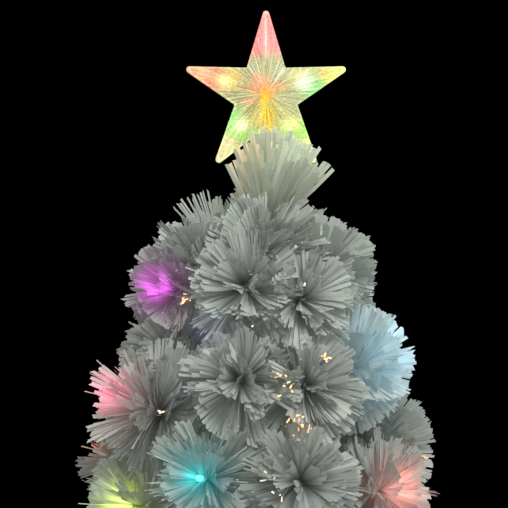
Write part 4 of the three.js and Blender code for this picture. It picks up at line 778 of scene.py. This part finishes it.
def clear_of_star(strip_set):
    """Shorten the strips that would run into the star: those whose tip is within 16 mm of the star's plane
    and higher than the star's lowest point, less a gap."""
    lengths, climb = strip_set["lengths"], strip_set["aims"][:, 2]
    tips = strip_set["roots"] + strip_set["aims"] * lengths[:, None]
    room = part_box("star_front_shell")[0][2] - 4 * MM - strip_set["roots"][:, 2]
    runs_in = (np.abs(tips[:, 1]) < 16 * MM) & (climb * lengths > room)
    strip_set["lengths"] = np.where(runs_in, np.minimum(lengths, room / np.maximum(climb, 0.05)), lengths)
    return strip_set


def hub_core(tuft, heights, radii, sides, flute=0.0):
    """The core of a hub, a tube along the tuft's axis; heights and radii in millimetres."""
    path = tuft["apex"] + tuft["axis"] * np.array(heights)[:, None] * MM
    return dict(tube(path, np.array(radii) * MM, sides, flute), finish=1)


def top_parts(tuft, rng):
    """The top tuft: locks and fans that lean to the right, long locks at its left, low ones all round,
    and its core."""
    lean = unit(np.array([0.2, 0, 1.0]))
    leaning = dict(tuft, axis=lean, over=np.cross(lean, tuft["side"]))
    sets = [lock_strips(leaning, rng, 26, 9, 3, 24, (0.96, 1.0)),
            lock_strips(leaning, rng, 8, 14, 8, 24, (1.0, 1.0), wide=True),
            lock_strips(leaning, rng, 30, 9, 17, 25, (1.17, 1.06), (math.pi, 1.9)),
            lock_strips(tuft, rng, 18, 10, 36, 56, (0.62, 0.56)),
            stray_strips(leaning, rng, 2, 26)]
    for strip_set in sets[:4]:
        strip_set["widths"] *= TOP_WIDTH
    sets = [clear_of_star(strip_set) for strip_set in sets]
    return [strips("top", **joined(*sets)), hub_core(tuft, (-14, -11, 5, 9), (3.4, 4.4, 4.4, 3.4), 10)]


def branch_parts(name, tuft, rng):
    """A branch: its locks, fans, strays and fringe, its wrapped wire and its core."""
    near = 20 if name == "d2" else 15 if name in LAMPS else 6
    locks, fans, first = 66, (8, 22), 64
    if name in UNEVEN_TUFTS:
        fans = (3, 14)
    if name in SMOOTH_TUFTS:
        locks, fans, first = 34, (22, 22), 32
    sets = [lock_strips(tuft, rng, locks, 9, near, 112, (0.86, 0.98)),
            lock_strips(tuft, rng, *fans, first, 102, (0.95, 0.98), wide=True),
            stray_strips(tuft, rng, STRAY_COUNTS.get(name, 4), 80), fringe_strips(tuft, rng, 110)]
    if name == "d2":
        sets[0]["widths"] *= 0.8
    if name == "a5":
        sets.append(sparse_fan(tuft, rng))
    path = stem_path(tuft, 12)
    wire = dict(tube(path, np.full(len(path), 1.6 * MM), 8, 0.08), finish=1)
    core = hub_core(tuft, (-16, -14, 2, 5, 6), (1.8, 3.2, 3.4, 2.8, 1.2), 8, 0.06)
    return [strips(name, **joined(*sets)), wire, core]


def grow_branch(name, tuft, seed):
    """The foliage of one branch or of the top tuft."""
    rng = np.random.default_rng(seed)
    top = name == "top"
    parts = top_parts(tuft, rng) if top else branch_parts(name, tuft, rng)
    piece = put_piece("foliage_" + name, parts, [STRIPS, WIRE], "tree")
    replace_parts(piece, "top_tuft" if top else "branch_" + name)


# A cover screw, from the driver's recess over the head to the shank's tip: radius and height above the
# floor in millimetres
SCREW_PROFILE = [(0.0, 5.05), (0.9, 5.0), (1.2, 4.5), (3.0, 4.5), (3.3, 4.75), (3.3, 5.25), (1.2, 5.25),
                 (1.2, 16.2), (0.4, 17.4), (0.0, 17.5)]
SCREW_CIRCLE = 62 * MM


def fit_cover_screws():
    """The four screws that hold the bottom cover, each up the bore of its post."""
    parts = []
    for turn in np.radians([45, 135, 225, 315]):
        centre = (SCREW_CIRCLE * math.cos(turn), SCREW_CIRCLE * math.sin(turn), 0)
        parts.append(turned_piece(SCREW_PROFILE, 16, centre))
    put_piece("cover_screws", parts, [SCREW], "base")


# The lens of a lamp on its collar: radius and height over the tuft's apex in millimetres
LENS_PROFILE = [(0, 4), (3.25, 4), (3.625, 5), (3.625, 6), (3, 6.4), (3, 13.5), (2.625, 15), (1.75, 16.2),
                (0.75, 16.8), (0, 16.9)]


def light_lamp(name):
    """The lamp in a tuft: a domed lens on a collar, turned about the tuft's axis, lit above the collar."""
    tuft = TUFTS[name]
    bright = screen(*LAMPS[name][0])
    tone = bright / bright.max()
    lens = turned_piece(LENS_PROFILE, 14, tuft["apex"], tuft["axis"])
    height = ((lens["points"] - tuft["apex"]) @ tuft["axis"]) / MM
    lens["paint"] = np.broadcast_to(0.25 + 0.35 * tone, lens["points"].shape)
    lens["glow"] = np.clip((height - 5) / 6, 0, 1)[:, None] * (tone + 0.12)
    put_piece("lamp_" + name, [lens], [LENS], "tree", smooth=True)


# clear fibres

# Clusters of lit fibres: tuft, millimetres to the right and up from its middle, spread, how many, tone
LIT_CLUSTERS = [
    ("b1", -55, -10, 2, 7, "amber"), ("c2", -25, 13, 2, 5, "amber"), ("c2", -15, 4, 2.4, 4, "amber"),
    ("c2", -22, -5, 1, 2, "amber"), ("c2", -10, -27, 3, 5, "amber"), ("c2", 0, -33, 4, 7, "amber"),
    ("c2", 18, 27, 2, 6, "amber"), ("d1", -31, 12, 4, 3, "pale"), ("d1", -19, -6, 2, 3, "pale"),
    ("b1", 5, -36, 1, 1, "pale"), ("c7", 6, 3, 2, 3, "pale"), ("b2", -5, 48, 1, 1, "white"),
    ("b2", 5, 16, 1, 1, "white"), ("d6", 46, -6, 4, 3, "amber"), ("c8", 25, 24, 4, 4, "lilac"),
]
FIBRE_TONES = {"amber": screen(255, 172, 100) * 2.0, "pale": screen(250, 235, 180) * 1.3,
               "white": screen(235, 235, 225) * 1.2, "lilac": screen(120, 120, 190) * 0.8}
UNLIT_TONE = np.array([0.12, 0.12, 0.1])
UNLIT_COUNT = 7
UNLIT_TURN = 2.4
LIT_REACH = 54
FIBRE_RADII = np.array([0.35, 0.35, 0.35, 0.4, 0.55, 0.75]) * MM
FIBRE_GLOW = np.array([0, 0, 0, 0, 0.8, 1.0])


def fibre(start, end, lit, tone, turned=0):
    """A clear fibre: start + (end - start) u, bowed a little upwards by sin(pi u), with its last share lit
    and its tip turned a little aside."""
    u = np.array([0, 0.3, 0.6, 0.995 - lit, 1 - lit, 1.0])[:, None]
    path = start + (end - start) * u + UP * 3 * MM * np.sin(np.pi * u)
    path[-1] += turned
    made = tube(path, FIBRE_RADII, 6)
    glow = np.repeat(FIBRE_GLOW[:, None] * tone, 6, 0)
    made["glow"] = np.concatenate([glow, glow[:1], glow[-1:]])
    made["paint"] = np.full((len(made["points"]), 3), 0.35)
    return made


def draw_fibres():
    """The lit fibres, and in every tuft a few unlit ones at even turns round its axis."""
    rng = np.random.default_rng(77)
    parts = []
    for name, right, up, spread_out, count, tone in LIT_CLUSTERS:
        apex = TUFTS[name]["apex"]
        for number in range(count):
            x, z = right + rng.normal(0, spread_out), up + rng.normal(0, spread_out)
            ahead = math.sqrt(max(LIT_REACH ** 2 - x ** 2 - z ** 2, 25))
            end = apex + np.array([x, -ahead, z]) * MM
            parts.append(fibre(apex, end, rng.uniform(0.03, 0.06), FIBRE_TONES[tone] * rng.uniform(0.5, 1.4),
                               rng.normal(0, 1.6, 3) * [1, 0.3, 1] * MM))
    for tuft in TUFTS.values():
        if tuft["tier"] == "top":
            continue
        for number in range(UNLIT_COUNT):
            aim = aimed(tuft, rng.uniform(0.5, 1.5), number * UNLIT_TURN)
            end = tuft["apex"] + aim * tuft["length"] * rng.uniform(0.7, 0.9)
            parts.append(fibre(tuft["apex"], end, 0.04, UNLIT_TONE))
    put_piece("clear_fibres", parts, [FIBRE], "tree", smooth=True)


# star

STAR_NOTCH, STAR_SHARP, STAR_ROUND = 30.7 * MM, 84 * MM, 2.9 * MM
STAR_HALF, STAR_RIM, STAR_WALL = 12 * MM, 3.2 * MM, 1.3 * MM
STAR_PARTING = 0.15 * MM
FLANK_STEPS, ARC_STEPS = 27, 6
STAR_RIBS, RIB_HEIGHT, BEAD_HEIGHT = 75, 0.45 * MM, 0.8 * MM
OUTER_SHARES = np.concatenate([np.linspace(0.04, 0.93, 30), [0.955, 0.97, 0.985, 1.0]])
INNER_SHARES = (1.0, 0.8, 0.6, 0.4, 0.2, 0.06)
RIM_SHARES, RIM_BRIGHTER = 4, 1.35
NECK_RADIUS = 4.9 * MM


def star_outline():
    """Outline of the star: straight flanks from each notch to a round point that touches both."""
    pitch = math.pi / 5
    notch = np.array([STAR_NOTCH * math.cos(pitch), STAR_NOTCH * math.sin(pitch)])
    tip_angle = math.atan2(notch[1], STAR_SHARP - notch[0])
    centre = STAR_SHARP - STAR_ROUND / math.sin(tip_angle)
    touch = np.array([centre + STAR_ROUND * math.sin(tip_angle), STAR_ROUND * math.cos(tip_angle)])
    rise = np.linspace(0, 1, FLANK_STEPS, endpoint=False)[:, None]
    flank = notch * (1 - rise) + touch * rise
    bow = np.linspace(math.pi / 2 - tip_angle, -(math.pi / 2 - tip_angle), ARC_STEPS)
    arc = np.stack([centre + STAR_ROUND * np.cos(bow), STAR_ROUND * np.sin(bow)], 1)
    scale = STAR_R / (centre + STAR_ROUND)
    arm = np.concatenate([flank, arc, (flank * [1, -1])[::-1][:-1]]) * [scale, 1]
    turns = np.pi / 2 - np.arange(5) * 2 * np.pi / 5
    x = arm[:, 0] * np.cos(turns)[:, None] - arm[:, 1] * np.sin(turns)[:, None]
    z = arm[:, 0] * np.sin(turns)[:, None] + arm[:, 1] * np.cos(turns)[:, None]
    return np.stack([x.ravel(), z.ravel()], 1)


# Glows of the star: place from its centre, spread across and up, colour, weight
STAR_GLOWS = [
    (-39, 12, 5.0, 5.0, (255, 246, 170), 7.0), (-34, 14, 9, 7, (244, 200, 60), 1.6),
    (-60, 18, 6, 5, (255, 226, 170), 3.0), (-58, 14, 16, 9, (250, 140, 104), 3.4),
    (37, 11, 5.5, 5, (244, 250, 225), 8.0), (46, 6, 10, 9, (134, 226, 120), 2.6),
    (30, 16, 9, 6, (225, 220, 120), 1.2), (56, 18, 5, 4, (252, 190, 90), 3.5),
    (66, 17, 10, 9, (226, 245, 120), 3.4), (-24, -29, 5, 5, (248, 255, 205), 6.5),
    (-32, -24, 8, 9, (128, 226, 104), 2.4), (-20, -38, 9, 5, (150, 230, 90), 2.0),
    (24, -30, 6.5, 5, (250, 255, 160), 6.0), (36, -32, 8, 7, (140, 226, 80), 2.6),
    (14, -38, 16, 5, (150, 226, 60), 2.6), (-38, -56, 10, 13, (232, 222, 160), 3.6),
    (38, -56, 10, 13, (236, 234, 165), 3.6), (0, 0, 4.5, 5, (250, 168, 24), 3.6),
    (-3, 8, 8, 8, (246, 140, 104), 0.9), (-9, 12, 5, 7, (244, 148, 110), 0.9),
    (-13, 5, 7, 3, (244, 140, 96), 0.7), (11, 7, 7, 3.5, (248, 150, 84), 1.1),
    (-15, -7, 9, 3, (246, 164, 120), 1.0), (1, -20, 8, 15, (206, 186, 56), 2.0),
    (-14, -24, 12, 8, (216, 190, 70), 0.7), (16, -20, 10, 8, (205, 200, 120), 0.7),
]
STAR_PLAIN = screen(172, 172, 124)
STAR_PINK, STAR_PALE_PINK = screen(248, 132, 132), screen(255, 196, 186)
STEM_GOLD = screen(232, 188, 14)
# Stems of lit gold: place across, top and bottom in millimetres from the star's centre
STAR_STEMS = [(-1.6, 0, -38), (4.6, -14, -42)]
STEM_REACH = 1.9
PINK_FROM = 34
STAR_LEVEL = 0.93


def star_colours(x, z):
    """Colour of the lit star at a point: the average of its glows, each weighted by exp(-((dx/a)^2 +
    (dz/b)^2)), with the plain clear tone where no glow reaches. The top arm is pink from a ragged level
    upwards and paler down its middle, and two stems of lit gold stand below the centre."""
    x, z = x[:, None] / MM, z[:, None] / MM
    total = np.ones_like(x)
    colour = STAR_PLAIN * total
    for cx, cz, a, b, tone, weight in STAR_GLOWS:
        w = weight * np.exp(-(((x - cx) / a) ** 2 + ((z - cz) / b) ** 2))
        colour = colour + w * screen(*tone)
        total = total + w
    ragged = 3 * np.sin(x * 1.3 + 2 * np.sin(x * 0.6)) + 2 * np.sin(x * 2.9 + 1)
    pink = 7 * np.clip((z - PINK_FROM - ragged) / 8, 0, 1) ** 2
    paler = bell(x / 2.5) * 0.5
    colour = (colour + pink * (STAR_PINK * (1 - paler) + STAR_PALE_PINK * paler)) / (total + pink)
    for cx, top, bottom in STAR_STEMS:
        post = 0.95 * bell((x - cx) / STEM_REACH) * (z < top) * (z > bottom)
        colour = colour * (1 - post) + post * STEM_GOLD
    return colour * STAR_LEVEL


def star_shell(name, facing):
    """One half of the star. A point is the outline scaled by share u, at depth rim + (half - rim)(1 - u)
    plus a rib height times cos of its place along the outline; the edge carries a small bead, and a half
    round boss of depth sqrt(r^2 - x^2) makes room for the neck. The same surface, one wall inside, closes
    the shell."""
    x, z = star_outline().T
    count = len(x)
    rng = np.random.default_rng(11)
    turn = np.arange(count) / count * 2 * np.pi
    ribs = RIB_HEIGHT * np.cos(turn * STAR_RIBS) * rng.uniform(0.5, 1.5, count)

    def ring(share, depth, neck):
        boss = np.sqrt(np.maximum(neck ** 2 - (x * share) ** 2, 0)) * (z < 0)
        return np.stack([x * share, np.maximum(depth, boss), z * share], 1)

    def face_depth(share):
        rising = np.clip(share / 0.12, 0, 1) * np.clip((0.95 - share) / 0.06, 0, 1)
        return STAR_RIM + (STAR_HALF - STAR_RIM) * (1 - share) + ribs * rising

    rings = []
    for share in OUTER_SHARES:
        bead = BEAD_HEIGHT * np.sin(np.pi * np.clip((share - 0.945) / 0.055, 0, 1))
        rings.append(ring(share, face_depth(share) + bead, NECK_RADIUS + STAR_WALL))
    seat = ring(1, STAR_PARTING, NECK_RADIUS)
    inner = 1 - STAR_WALL / STAR_NOTCH
    rings.extend([seat, seat * [inner, 1, inner]])
    for share in INNER_SHARES:
        rings.append(ring(share * inner, face_depth(share) - STAR_WALL, NECK_RADIUS))
    part = closed(np.array(rings), [0, STAR_HALF, 0], [0, STAR_HALF - STAR_WALL, 0])
    # The star's walls start at the next corner, which splits them along the other diagonal
    part["faces"] = [np.roll(faces, -1, 1)[:, ::-facing] for faces in part["faces"]]
    points = part["points"]
    colours = star_colours(points[:, 0], points[:, 2])
    # Painted light: the lit star's rim is brighter, in its paint and in its glow
    edge = (len(OUTER_SHARES) - RIM_SHARES) * count
    colours[edge:edge + (RIM_SHARES + 1) * count] *= RIM_BRIGHTER
    part["points"] = points * [1, facing, 1] + STAR_CENTRE
    # The star's light is painted into its base colour as well as into its glow
    part["paint"] = np.clip(colours * 0.4 + 0.08, 0, 1)
    part["glow"] = colours * 0.8
    return put_piece(name, [part], [STAR], "star")


# put it together

place_camera()
light_the_studio()
bpy.context.scene.view_settings.view_transform = "Standard"

for seed, (name, tuft) in enumerate(TUFTS.items()):
    grow_branch(name, tuft, seed + 1)
for name in LAMPS:
    light_lamp(name)
fit_cover_screws()
draw_fibres()
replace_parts(star_shell("star_front", -1), "star_front_shell")
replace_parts(star_shell("star_rear", 1), "star_rear_shell")

NODE_FINISHES = {
    "base_housing": WHITE, "base_cover": WHITE, "led_module": ALLOY, "wheel_motor": MOTOR,
    "colour_wheel": wheel_finish(), "switch_body": BLACK, "switch_rocker": BLACK, "dc_inlet": BLACK,
    "thumb_screw": SCREW, "trunk_tube": TRUNK, "tip_rod": TRUNK, "fibre_bundle": BUNDLE,
    "star_socket": socket_finish(), "star_lamps": lamp_board_finish(),
}
NODE_KINDS = {"foot": RUBBER, "collar": COLLAR}
for node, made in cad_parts.items():
    finish = NODE_FINISHES.get(node) or NODE_KINDS.get(node.split("_")[0])
    if finish:
        made.data.materials.clear()
        made.data.materials.append(finish)

# A disc under the tree: radius and height in millimetres
FLOOR_PROFILE = [(0, -4), (1200, -4), (1200, 0), (0, 0)]
FLOOR_LEVEL = -0.2 * MM
# Painted shade on the floor: it darkens from the first distance to the second, in metres from the middle
FADE_FROM, FADE_TO = 0.45, 1.15


def lay_floor():
    """A pale round floor, one thin closed disc, whose paint falls to dark towards its edge: painted shade.
    """
    made, tree, surface = new_finish("pale_floor")
    reach = add(tree, "VectorMath", {0: object_place(tree)}, "Value", operation="LENGTH")
    fade = spread(tree, reach, FADE_FROM, FADE_TO, 0, 1, interpolation_type="SMOOTHSTEP")
    feed(tree, surface, {
        "Base Color": two_tones(tree, fade, (0.6, 0.6, 0.58), (0, 0, 0)), "Specular IOR Level": 0,
        "Roughness": 0.8})
    floor = put_mesh("floor", [turned_piece(FLOOR_PROFILE, 96, (0, 0, FLOOR_LEVEL))], [made])


lay_floor()
